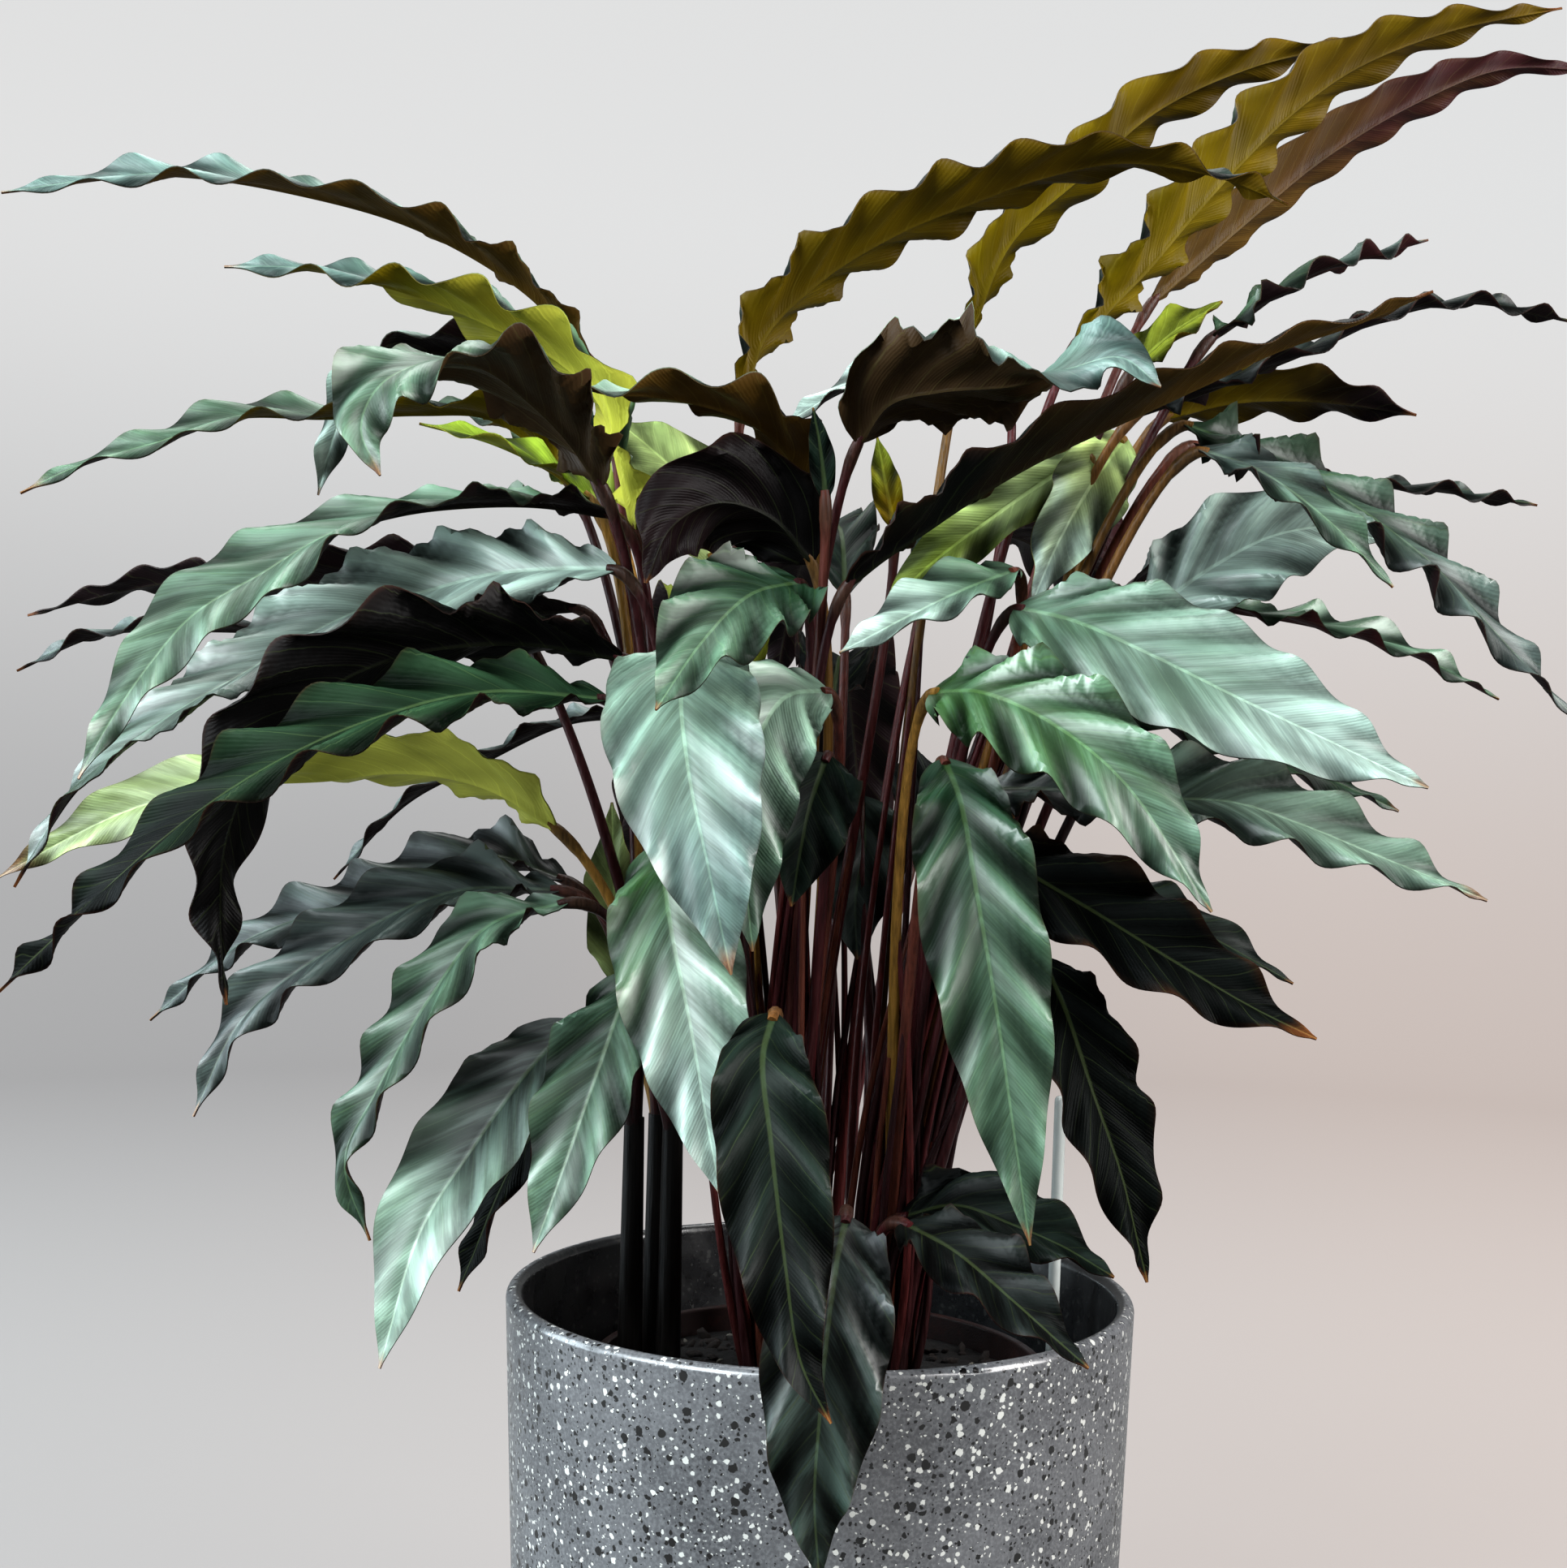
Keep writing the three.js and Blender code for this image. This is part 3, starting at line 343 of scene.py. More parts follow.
def makePlanter():
    rim, foot, wall, top = [planter[k] for k in ("rimRadius", "footRadius", "wall", "height")]
    bend, floor, steps = planter["footRound"], planter["floor"], planter["wallSteps"]
    lip, inner = wall / 2, foot - wall
    profile = [(0, 0), (planter["flatFoot"], 0)]
    profile += roundCorner((foot - bend, bend), bend, -90, 0)
    profile += [(foot + (rim - foot) * i / steps, bend + (top - lip - bend) * i / steps)
                for i in range(1, steps)]
    profile += roundCorner((rim - lip, top - lip), lip, 0, 180, 12)
    profile += [(rim - wall - (rim - foot) * i / steps, top - lip - (top - floor - lip - bend) * i / steps)
                for i in range(1, steps)]
    profile += roundCorner((inner - bend, floor + bend), bend, 0, -90)
    profile += [(planter["flatFloor"], floor), (0, floor)]
    mesh = spinProfile(profile, planter["turns"])
    smoothFaces(mesh)
    newPiece("planter_shell", mesh, [glazeFinish()], ["outer_pot"], "planter_glaze")


makePlanter()
print("planter made")

# Nursery pot: thin red-brown plastic, standing loose on the planter's floor
nursery = {
    "rimRadius": 80, "footRadius": 60, "height": 150, "wall": 1.8, "floor": 2.4, "rimBand": 12,
    "rimProud": 1.6, "rimRound": 0.8, "bandEdge": 0.6, "footEdge": 2, "turns": 128, "gap": 0.3,
    "drainRadius": 5, "drainCircle": 38, "drainDepth": 10, "drainSides": 24, "drains": 4,
    # tone and pale are the red-brown plastic's own colour and its scuffs', darkened further as painted
    # shade deep in the planter
    "tone": "1a0806", "pale": "34130e",
}
nurseryBase = planter["floor"] + nursery["gap"]
nurseryTop = nurseryBase + nursery["height"]


def nurseryInside(height):
    share = (height - nurseryBase) / nursery["height"]
    outside = nursery["footRadius"] + (nursery["rimRadius"] - nursery["footRadius"]) * share
    return outside - nursery["rimProud"] - nursery["wall"]


def plasticFinish():
    finish, tree, shader = newFinish("nurseryPlastic", {"Specular IOR Level": 0.15})
    place = objectPlace(tree)
    scuff = noiseOn(tree, place, 90.0, 5.0, 0.7)
    share = fade(tree, scuff, 0.5, 0.75, 0.0, 0.6)
    tone = mixTone(tree, share, paint(nursery["tone"]), paint(nursery["pale"]))
    feed(tree, shader, "Base Color", tone)
    feed(tree, shader, "Roughness", fade(tree, scuff, 0.3, 0.8, 0.42, 0.7))
    feedBump(tree, shader, noiseOn(tree, place, 1500.0, 2.0), 0.0001)
    return finish


def makeNurseryPot():
    rim, wall, bend = nursery["rimRadius"], nursery["wall"], nursery["rimRound"]
    foot = nursery["footRadius"] - nursery["rimProud"]
    footEdge, bandEdge = nursery["footEdge"], nursery["bandEdge"]
    bandFoot = nurseryTop - nursery["rimBand"]
    insideFloor = nurseryBase + nursery["floor"]
    inTop, inFloor = nurseryInside(nurseryTop), nurseryInside(insideFloor)
    profile = [(0, nurseryBase), (foot - footEdge, nurseryBase), (foot, nurseryBase + footEdge)]
    profile += [(nurseryInside(bandFoot) + wall, bandFoot), (rim - bandEdge, bandFoot)]
    profile += [(rim, bandFoot + bandEdge), (rim, nurseryTop - bend)]
    profile += roundCorner((rim - bend, nurseryTop - bend), bend, 0, 90, 4)
    profile += roundCorner((inTop + bend, nurseryTop - bend), bend, 90, 180, 4)
    profile += [(inFloor, insideFloor), (0, insideFloor)]
    mesh = spinProfile(profile, nursery["turns"])
    smoothFaces(mesh, 35)
    pot = newPiece("nursery_shell", mesh, [plasticFinish()], ["nursery_pot"], "nursery_plastic")
    cutter = bmesh.new()
    hole, depth = nursery["drainRadius"] * mm, nursery["drainDepth"] * mm
    for i in range(nursery["drains"]):
        turn = (i + 0.5) * 2 * math.pi / nursery["drains"]
        spot = Vector((math.cos(turn), math.sin(turn), 0)) * nursery["drainCircle"] * mm
        place = Matrix.Translation(spot + upright * nurseryBase * mm)
        bmesh.ops.create_cone(cutter, cap_ends=True, segments=nursery["drainSides"], radius1=hole,
                              radius2=hole, depth=depth, matrix=place)
    drains = meshObject("drains", cutter)
    cut = pot.modifiers.new("drains", "BOOLEAN")
    cut.object, cut.operation, cut.solver = drains, "DIFFERENCE", "EXACT"
    solid = bpy.data.meshes.new_from_object(pot.evaluated_get(bpy.context.evaluated_depsgraph_get()))
    pot.modifiers.clear()
    pot.data = solid
    bpy.data.objects.remove(drains)


makeNurseryPot()
print("nursery pot made")

# Soil: a low crown of dark lumps, with bark and a few white grains
soil = {
    "belowRim": 9, "crown": 2, "gap": 0.3, "lump": 1.1, "calmRim": 0.93, "turns": 160, "rounds": 44,
    "seed": 11, "clearRim": 4,
    # the crumb, bark and grain tones are the soil's own colours darkened further as painted shade deep in
    # the pots
    "crumb": {"dark": "040303", "light": "0c0908", "scale": 260.0, "rough": 0.95},
    "bark": {"count": 330, "small": 1.2, "large": 3.4, "dark": "180f0b", "light": "130c09",
             "scale": 400.0, "rough": 0.85},
    "grain": {"count": 70, "small": 0.8, "large": 1.7, "dark": "6a675f", "light": "6b675e",
              "scale": 700.0, "rough": 0.8},
}
soilTop = nurseryTop - soil["belowRim"]


def soilHeight(distance):
    share = min(distance / nurseryInside(soilTop), 1)
    return soilTop + soil["crown"] * (1 - share * share)


def soilFinish(name, kind):
    finish, tree, shader = newFinish(name, {"Specular IOR Level": 0.25})
    place = objectPlace(tree)
    crumb = noiseOn(tree, place, kind["scale"], 6.0, 0.75)
    tone = mixTone(tree, fade(tree, crumb, 0.35, 0.7), paint(kind["dark"]), paint(kind["light"]))
    feed(tree, shader, "Base Color", tone)
    feed(tree, shader, "Roughness", fade(tree, crumb, 0.3, 0.7, kind["rough"] - 0.1, kind["rough"]))
    feedBump(tree, shader, noiseOn(tree, place, kind["scale"] * 2.2, 5.0, 0.7), 0.0012)
    return finish


def makeSoil():
    dice = random.Random(soil["seed"])
    edge = nurseryInside(soilTop) - soil["gap"]
    foot = nurseryBase + nursery["floor"] + soil["gap"]
    profile = [(0, foot), (nurseryInside(foot) - soil["gap"], foot)]
    profile += [(edge * (1 - i / soil["rounds"]), soilHeight(edge * (1 - i / soil["rounds"])))
                for i in range(soil["rounds"] + 1)]
    mesh = spinProfile(profile, soil["turns"])
    for vert in mesh.verts:
        if vert.co.z > foot * mm + mm:
            out = Vector((vert.co.x, vert.co.y, 0)).length / (edge * mm)
            rough = noise.fractal(vert.co * 160, 1.0, 2.0, 4) + 0.6 * noise.noise(vert.co * 45)
            vert.co.z += soil["lump"] * mm * rough * (1 - 0.7 * ease(soil["calmRim"], 1.0, out))
    for index, kind in ((1, soil["bark"]), (2, soil["grain"])):
        for _ in range(kind["count"]):
            turn = dice.uniform(0, 2 * math.pi)
            out = (edge - soil["clearRim"]) * math.sqrt(dice.random())
            size = dice.uniform(kind["small"], kind["large"])
            spot = Vector((out * math.cos(turn), out * math.sin(turn), soilHeight(out) + 0.3 * size))
            tilt = Matrix.Rotation(dice.uniform(0, 3), 4, Vector([dice.uniform(-1, 1) for _ in range(3)]))
            flat = Matrix.Diagonal((1.3, dice.uniform(0.5, 1.0), dice.uniform(0.3, 0.7), 1))
            place = Matrix.Translation(spot * mm) @ tilt @ flat
            chip = bmesh.ops.create_icosphere(mesh, subdivisions=1, radius=size * mm, matrix=place)
            for face in {face for vert in chip["verts"] for face in vert.link_faces}:
                face.material_index = index
    smoothFaces(mesh, 60)
    kinds = {"soilCrumb": "crumb", "barkChip": "bark", "whiteGrain": "grain"}
    finishes = [soilFinish(name, soil[kind]) for name, kind in kinds.items()]
    newPiece("soil_bed", mesh, finishes, ["soil"], "potting_soil")


makeSoil()
print("soil made")

# Clear rod with a few dark specks, standing between the two pots
rod = {
    "radius": 2.2, "foot": (84, 26), "top": (87.5, 25), "height": 250, "sides": 24, "steps": 20,
    "footRound": [(0, 0.02), (0.0005, 0.5), (0.002, 0.8), (0.005, 0.97)],  # length and radius, in shares
    "topRound": [(0.994, 0.96), (0.998, 0.78), (0.9995, 0.45), (1, 0.02)],
    "tone": "b9bfbc", "haze": "9da29e", "speck": "22201c",
}


def rodFinish():
    fixed = {"Roughness": 0.16, "Transmission Weight": 0.12, "IOR": 1.46, "Coat Weight": 0.3}
    finish, tree, shader = newFinish("clearPlastic", fixed)
    place = objectPlace(tree)
    mask = useGroup(tree, speckles, Scale=330.0, Size=0.42, Share=0.2)["Mask"]
    haze = fade(tree, noiseOn(tree, place, 40.0, 3.0), 0.3, 0.7, 0.0, 0.5)
    tone = mixTone(tree, haze, paint(rod["tone"]), paint(rod["haze"]))
    tone = mixTone(tree, mask, tone, paint(rod["speck"]))
    feed(tree, shader, "Base Color", tone)
    feedBump(tree, shader, noiseOn(tree, place, 300.0, 2.0), 0.0002)
    return finish


def makeRod():
    foot = Vector((*rod["foot"], nurseryBase)) * mm
    top = Vector((*rod["top"], rod["height"])) * mm
    straight = [(0.01 + 0.98 * i / rod["steps"], 1) for i in range(rod["steps"] + 1)]
    outline = rod["footRound"] + straight + rod["topRound"]
    path = [foot.lerp(top, share) for share, _ in outline]
    mesh = bmesh.new()
    rollTube(mesh, path, [rod["radius"] * mm * wide for _, wide in outline], rod["sides"])
    closeTubes(mesh)
    smoothFaces(mesh, 60)
    newPiece("rod_clear", mesh, [rodFinish()], ["clear_rod"], "clear_plastic")


makeRod()
print("rod made")

# Leaves. Each has the clump it grows from, its width in millimetres, its colours at the neck and at
# the tip on both sides, its gloss, the ways its upper side looks at even steps from neck to tip, and
# the points that its rib passes. Some have their own fold, calmer waves, burnt margins or a frill.
leaves = {
    "left_1": {
        "clump": "left", "slot": "leaf_dark", "width": 30, "upper": "green blue", "under": "brown brown",
        "shine": 0.4, "fold": 0.28,
        "faces": [(0.7, 0.18, 0.69), (0.47, 0.08, 0.88), (0.18, -0.14, 0.97), (0.06, -0.59, 0.81),
            (-0.01, -0.77, 0.64)],
        "rib": [(-90, 20, 515), (-111, 14, 537), (-148, 6, 557), (-186, -3, 566), (-237, -12, 570),
            (-290, -20, 560)],
    },
    "left_2": {
        "clump": "left", "slot": "leaf_dark", "width": 48, "upper": "green mint", "under": "umber umber",
        "shine": 0.7, "fold": 0.15, "scorch": 0.4,
        "faces": [(0.66, 0.44, 0.6), (0.36, 0.37, 0.86), (-0.07, 0.05, 1), (-0.07, -0.79, 0.62),
            (0.21, -0.93, 0.31)],
        "rib": [(-80, -30, 462), (-90, -36, 476), (-102, -46, 487), (-117, -60, 496), (-132, -74, 494),
            (-145, -86, 484), (-149, -94, 469), (-142, -98, 454)],
    },
    "left_3": {
        "clump": "left", "slot": "leaf_olive", "width": 38, "upper": "fresh blue", "under": "lime gold",
        "shine": 0.7, "fold": 0.12, "scorch": 0.2,
        "faces": [(0.95, 0.18, 0.24), (0.92, 0.29, 0.27), (0.44, 0.34, 0.83), (0.31, 0.29, 0.9),
            (0.16, -0.4, 0.9), (0.07, -0.8, 0.59)],
        "rib": [(-70, -6, 450), (-75, -6, 470), (-83, -5, 495), (-98, -2, 510), (-119, 0, 521),
            (-144, 0, 531), (-167, -2, 537), (-189, -5, 540), (-216, -8, 539)],
    },
    "left_4": {
        "clump": "left", "slot": "leaf_green", "width": 27, "upper": "green mint", "under": "gold plum",
        "shine": 0.35, "calm": 0.8, "scorch": 0.4,
        "faces": [(0.75, 0.25, 0.61), (-0.04, -0.09, 0.99), (0.04, -0.33, 0.94), (-0.13, -0.6, 0.79),
            (-0.26, -0.69, 0.68)],
        "rib": [(-97, 30, 470), (-111, 28, 486), (-128, 25, 495), (-151, 22, 495), (-186, 18, 492),
            (-215, 10, 490), (-239, 0, 479), (-263, -6, 470), (-285, -10, 458)],
    },
    "left_5": {
        "clump": "left", "slot": "leaf_dark", "width": 34, "upper": "mint silver", "under": "plum plum",
        "shine": 0.4,
        "faces": [(0.58, 0.74, 0.35), (0.59, 0.62, 0.52), (0.26, 0.34, 0.9), (-0.33, -0.08, 0.94),
            (-0.34, -0.89, 0.3), (0.08, -0.99, 0.08)],
        "rib": [(-91, 58, 477), (-112, 60, 506), (-135, 58, 522), (-155, 54, 524), (-172, 48, 518),
            (-183, 43, 501), (-188, 40, 485), (-192, 38, 466)],
    },
    "left_6": {
        "clump": "left", "slot": "leaf_green", "width": 40, "upper": "mint mint", "under": "plum plum",
        "shine": 0.75, "fold": 0.2, "calm": 0.6,
        "faces": [(0.17, 0.06, 0.98), (-0.09, -0.14, 0.99), (-0.25, -0.37, 0.89), (-0.02, -0.69, 0.72),
            (-0.03, -0.81, 0.59), (-0.02, -0.91, 0.42)],
        "rib": [(-78, -10, 455), (-103, -12, 458), (-128, -14, 457), (-151, -18, 453), (-174, -25, 444),
            (-194, -36, 429), (-212, -50, 414), (-223, -64, 395), (-230, -76, 378), (-237, -85, 359)],
    },
    "left_7": {
        "clump": "left", "slot": "leaf_green", "width": 42, "upper": "silver green", "under": "plum plum",
        "shine": 1, "fold": 0.25, "calm": 0.7, "frill": 0.5,
        "faces": [(-0.17, -0.76, 0.63), (-0.26, -0.78, 0.57), (-0.19, -0.72, 0.66), (-0.26, -0.55, 0.79),
            (-0.53, -0.43, 0.73), (-0.84, -0.29, 0.47)],
        "rib": [(-75, -29, 434), (-97, -24, 434), (-120, -18, 432), (-139, -15, 427), (-162, -16, 420),
            (-183, -20, 409), (-201, -28, 396), (-217, -36, 385), (-235, -42, 371), (-251, -48, 355),
            (-268, -54, 323)],
    },
    "left_8": {
        "clump": "left", "slot": "leaf_dark", "width": 26, "upper": "black black", "under": "plum plum",
        "shine": 0.3,
        "faces": [(0, 0.5, 0.87), (0, 0.45, 0.9)],
        "rib": [(-110, 30, 410), (-125, 38, 432), (-160, 48, 440), (-217, 60, 433), (-259, 75, 436),
            (-319, 92, 423)],
    },
    "left_9": {
        "clump": "left", "slot": "leaf_dark", "width": 26, "upper": "black grey", "under": "plum plum",
        "shine": 0.4,
        "faces": [(0, 0.4, 0.9), (0, -0.3, 0.95)],
        "rib": [(-92, 14, 424), (-138, 20, 421), (-187, 27, 415), (-234, 35, 415), (-274, 43, 413),
            (-308, 52, 399)],
    },
    "left_10": {
        "clump": "left", "slot": "leaf_dark", "width": 42, "upper": "black black", "under": "black black",
        "shine": 0.06,
        "faces": [(0, 0.35, 0.93), (-0.8, 0.6, 0.1)],
        "rib": [(-72, -33, 404), (-108, -39, 408), (-150, -50, 400), (-182, -52, 378), (-200, -50, 341),
            (-201, -52, 310), (-197, -56, 286)],
    },
    "left_11": {
        "clump": "left", "slot": "leaf_green", "width": 38, "upper": "green black", "under": "plum black",
        "shine": 0.02,
        "faces": [(0, -0.6, 0.8), (-0.5, -0.5, 0.7)],
        "rib": [(-76, -45, 389), (-115, -55, 390), (-149, -68, 380), (-181, -80, 363), (-212, -87, 339),
            (-257, -94, 293)],
    },
    "left_12": {
        "clump": "left", "slot": "leaf_lime", "width": 40, "upper": "lime pear", "under": "sun lime",
        "shine": 0.5, "calm": 0.5, "scorch": 1,
        "faces": [(0.53, 0.59, 0.61), (0.24, 0.52, 0.82), (-0.09, 0.35, 0.93), (-0.15, -0.53, 0.83),
            (-0.11, -0.92, 0.39), (-0.09, -0.96, 0.28)],
        "rib": [(-96, -8, 345), (-115, -4, 357), (-136, 0, 363), (-157, 3, 364), (-178, 5, 361),
            (-204, 7, 359), (-227, 8, 355), (-250, 8, 348), (-272, 6, 337), (-295, 4, 323)],
    },
    "left_13": {
        "clump": "left", "slot": "leaf_dark", "width": 20, "upper": "grey grey", "under": "plum plum",
        "shine": 0.4,
        "faces": [(0, -0.2, 0.95), (0, -0.3, 0.95)],
        "rib": [(-72, 66, 388), (-101, 76, 385), (-138, 92, 368), (-170, 106, 351), (-201, 120, 319)],
    },
    "left_14": {
        "clump": "left", "slot": "leaf_dark", "width": 32, "upper": "deep grey", "under": "plum plum",
        "shine": 0.5,
        "faces": [(0.1, -0.5, 0.85), (-0.4, -0.6, 0.7)],
        "rib": [(-94, 10, 326), (-125, 18, 334), (-171, 30, 316), (-217, 42, 299), (-256, 56, 267)],
    },
    "left_15": {
        "clump": "left", "slot": "leaf_dark", "width": 34, "upper": "grey grey", "under": "plum plum",
        "shine": 0.65,
        "faces": [(0.1, -0.5, 0.85), (-0.4, -0.7, 0.6)],
        "rib": [(-93, -20, 324), (-128, -26, 323), (-160, -32, 308), (-196, -38, 280), (-211, -42, 247)],
    },
    "left_16": {
        "clump": "left", "slot": "leaf_green", "width": 27, "upper": "mint green", "under": "plum plum",
        "shine": 0.55,
        "faces": [(0, -0.5, 0.85), (-0.75, -0.6, 0.3)],
        "rib": [(-88, -42, 321), (-113, -50, 313), (-130, -60, 290), (-146, -68, 259), (-154, -72, 239),
            (-145, -74, 214)],
    },
    "top_1": {
        "clump": "centre", "slot": "leaf_olive", "width": 36, "upper": "deep deep", "under": "moss olive",
        "shine": 0.2, "fold": 0.22,
        "faces": [(-0.82, 0.56, 0.15), (-0.62, 0.44, 0.65), (-0.37, 0.4, 0.84), (-0.24, 0.34, 0.91),
            (0.22, 0.2, 0.96), (0.41, -0.17, 0.9)],
        "rib": [(-34, 12, 501), (-27, 14, 524), (-6, 16, 546), (21, 16, 563), (47, 15, 574), (72, 13, 583),
            (98, 10, 588), (119, 7, 586), (139, 3, 580), (158, 0, 571)],
    },
    "top_2": {
        "clump": "centre", "slot": "leaf_olive", "width": 34, "upper": "deep pale", "under": "brown brown",
        "shine": 0.3, "fold": 0.3,
        "faces": [(0.52, 0.41, 0.75), (0.37, 0.24, 0.9), (0.06, 0.13, 0.99), (-0.09, 0.1, 0.99),
            (0.23, -0.08, 0.97)],
        "rib": [(-10, 4, 470), (-20, -6, 482), (-32, -14, 489), (-47, -24, 492), (-65, -33, 493),
            (-79, -40, 492), (-90, -44, 494)],
    },
    "top_3": {
        "clump": "centre", "slot": "leaf_dark", "width": 52, "upper": "pale blue", "under": "umber umber",
        "shine": 0.5, "calm": 0.7, "frill": 0.5,
        "faces": [(-0.58, 0.57, 0.58), (0.25, 0.45, 0.86), (0.17, 0.34, 0.92), (-0.53, -0.54, 0.66),
            (-0.18, -0.9, 0.41)],
        "rib": [(7, -8, 482), (17, -14, 495), (35, -26, 498), (57, -38, 498), (75, -50, 501),
            (90, -60, 503), (102, -68, 492)],
    },
    "top_4": {
        "clump": "centre", "slot": "leaf_dark", "width": 42, "upper": "black black", "under": "black plum",
        "shine": 0.0,
        "faces": [(0.2, 0.85, 0.45), (-0.3, 0.8, 0.4)],
        "rib": [(-8, -8, 440), (-22, -16, 454), (-40, -26, 458), (-56, -36, 448), (-64, -42, 428)],
    },
    "front_1": {
        "clump": "centre", "slot": "leaf_green", "width": 42, "upper": "forest mint", "under": "plum plum",
        "shine": 0.4, "fold": 0.1,
        "faces": [(0.36, -0.39, 0.85), (0.34, -0.49, 0.8), (0.07, -0.64, 0.77), (-0.03, -0.76, 0.65)],
        "rib": [(-12, -18, 432), (-29, -50, 424), (-44, -80, 405), (-56, -98, 384)],
    },
    "front_2": {
        "clump": "centre", "slot": "leaf_green", "width": 50, "upper": "pale blue", "under": "plum plum",
        "shine": 0.9, "fold": 0.1, "calm": 0.35, "scorch": 0.6,
        "faces": [(-0.1, -0.6, 0.8), (0, -1, 0.1)],
        "rib": [(-46, -34, 408), (-50, -66, 393), (-46, -88, 365), (-38, -102, 333), (-31, -107, 304)],
    },
    "front_3": {
        "clump": "centre", "slot": "leaf_green", "width": 37, "upper": "pale mint", "under": "plum plum",
        "shine": 0.7, "fold": 0.1, "calm": 0.7,
        "faces": [(0.3, -0.7, 0.65), (0.2, -1, 0)],
        "rib": [(-2, -30, 394), (-16, -46, 391), (-24, -58, 379), (-28, -68, 363), (-28, -76, 338),
            (-25, -80, 309)],
    },
    "front_4": {
        "clump": "centre", "slot": "leaf_green", "width": 42, "upper": "fresh silver", "under": "plum plum",
        "shine": 1, "fold": 0.1, "calm": 0.7,
        "faces": [(-0.1, -0.8, 0.6), (-0.1, -1, 0.1)],
        "rib": [(-57, -42, 341), (-52, -62, 315), (-44, -78, 284), (-38, -86, 255), (-33, -88, 233)],
    },
    "front_5": {
        "clump": "left", "slot": "leaf_green", "width": 34, "upper": "green mint", "under": "plum plum",
        "shine": 0.7,
        "faces": [(-0.3, -0.9, 0.3), (-0.35, -0.9, 0.15)],
        "rib": [(-66, -42, 298), (-71, -55, 280), (-80, -75, 250), (-91, -90, 215)],
    },
    "front_6": {
        "clump": "left", "slot": "leaf_green", "width": 38, "upper": "deep pale", "under": "plum plum",
        "shine": 0.9, "calm": 0.35, "scorch": 0.2,
        "faces": [(-0.3, -0.8, 0.5), (-0.35, -0.9, 0.15)],
        "rib": [(-86, -32, 280), (-100, -44, 264), (-116, -60, 240), (-129, -75, 217), (-138, -90, 178)],
    },
    "front_7": {
        "clump": "left", "slot": "leaf_dark", "width": 26, "upper": "black black", "under": "plum plum",
        "shine": 0,
        "faces": [(-0.6, -0.5, 0.6), (-0.7, -0.6, 0.3)],
        "rib": [(-86, -18, 268), (-98, -26, 244), (-108, -34, 226), (-121, -44, 191)],
    },
    "front_8": {
        "clump": "centre", "slot": "leaf_green", "width": 34, "upper": "deep black", "under": "plum plum",
        "shine": 0.06, "fold": 0.1,
        "faces": [(0, -0.9, 0.4), (0, -1, 0.05)],
        "rib": [(-18, -86, 290), (-21, -102, 278), (-18, -116, 256), (-13, -128, 222), (-8, -137, 196),
            (1, -142, 180)],
    },
    "front_9": {
        "clump": "centre", "slot": "leaf_green", "width": 38, "upper": "black deep", "under": "plum plum",
        "shine": 0.45, "fold": 0.1,
        "faces": [(0, -0.8, 0.6), (0, -1, 0.05)],
        "rib": [(6, -90, 228), (3, -106, 219), (0, -121, 200), (-2, -126, 176), (-3, -127, 153),
            (-1, -126, 129)],
    },
    "front_10": {
        "clump": "right", "slot": "leaf_dark", "width": 36, "upper": "black deep", "under": "plum plum",
        "shine": 0.1,
        "faces": [(0, -0.5, 0.85), (0.2, -0.6, 0.8)],
        "rib": [(27, -22, 214), (45, -34, 221), (63, -44, 217), (80, -50, 211), (95, -56, 203)],
    },
    "front_11": {
        "clump": "right", "slot": "leaf_dark", "width": 30, "upper": "black black", "under": "plum plum",
        "shine": 0.12,
        "faces": [(0.1, -0.6, 0.8), (0.2, -0.7, 0.7)],
        "rib": [(26, -60, 220), (41, -82, 216), (57, -102, 206), (78, -116, 190)],
    },
    "front_12": {
        "clump": "right", "slot": "leaf_green", "width": 38, "upper": "forest mint", "under": "plum plum",
        "shine": 0.4, "fold": 0.1, "calm": 0.7, "scorch": 0.3,
        "faces": [(0, -0.7, 0.7), (-0.1, -1, 0.15)],
        "rib": [(36, -56, 371), (40, -76, 357), (44, -92, 330), (50, -104, 293), (55, -112, 258),
            (60, -115, 226)],
    },
    "front_13": {
        "clump": "right", "slot": "leaf_green", "width": 42, "upper": "fresh mint", "under": "plum plum",
        "shine": 0.8, "fold": 0.1, "calm": 0.8,
        "faces": [(-0.59, -0.4, 0.7), (-0.28, -0.65, 0.7), (0.07, -0.89, 0.46), (0.14, -0.94, 0.32)],
        "rib": [(33, -38, 394), (48, -60, 393), (69, -82, 382), (89, -96, 364), (114, -106, 326)],
    },
    "front_14": {
        "clump": "right", "slot": "leaf_green", "width": 52, "upper": "mint silver", "under": "plum plum",
        "shine": 0.95, "fold": 0.1, "calm": 0.45, "scorch": 0.3,
        "faces": [(-0.1, -0.75, 0.65), (-0.1, -0.85, 0.5)],
        "rib": [(62, -26, 424), (80, -44, 418), (104, -58, 406), (128, -70, 393), (156, -80, 379),
            (185, -86, 365)],
    },
    "front_15": {
        "clump": "right", "slot": "leaf_green", "width": 34, "upper": "green green", "under": "plum plum",
        "shine": 0.4,
        "faces": [(0.1, -0.56, 0.82), (0.4, -0.64, 0.65), (0.34, -0.71, 0.61), (0.27, -0.79, 0.54)],
        "rib": [(62, -25, 406), (84, -30, 399), (116, -22, 389), (159, -14, 374), (198, -12, 357)],
    },
    "front_16": {
        "clump": "right", "slot": "leaf_dark", "width": 38, "upper": "deep pale", "under": "plum plum",
        "shine": 0.8, "scorch": 0.7,
        "faces": [(-0.25, -0.52, 0.82), (-0.15, -0.64, 0.75), (0.11, -0.75, 0.66), (0.17, -0.79, 0.58)],
        "rib": [(54, -17, 362), (84, -33, 362), (108, -42, 360), (133, -49, 359), (155, -53, 352),
            (175, -57, 344), (195, -61, 336), (212, -63, 329)],
    },
    "front_17": {
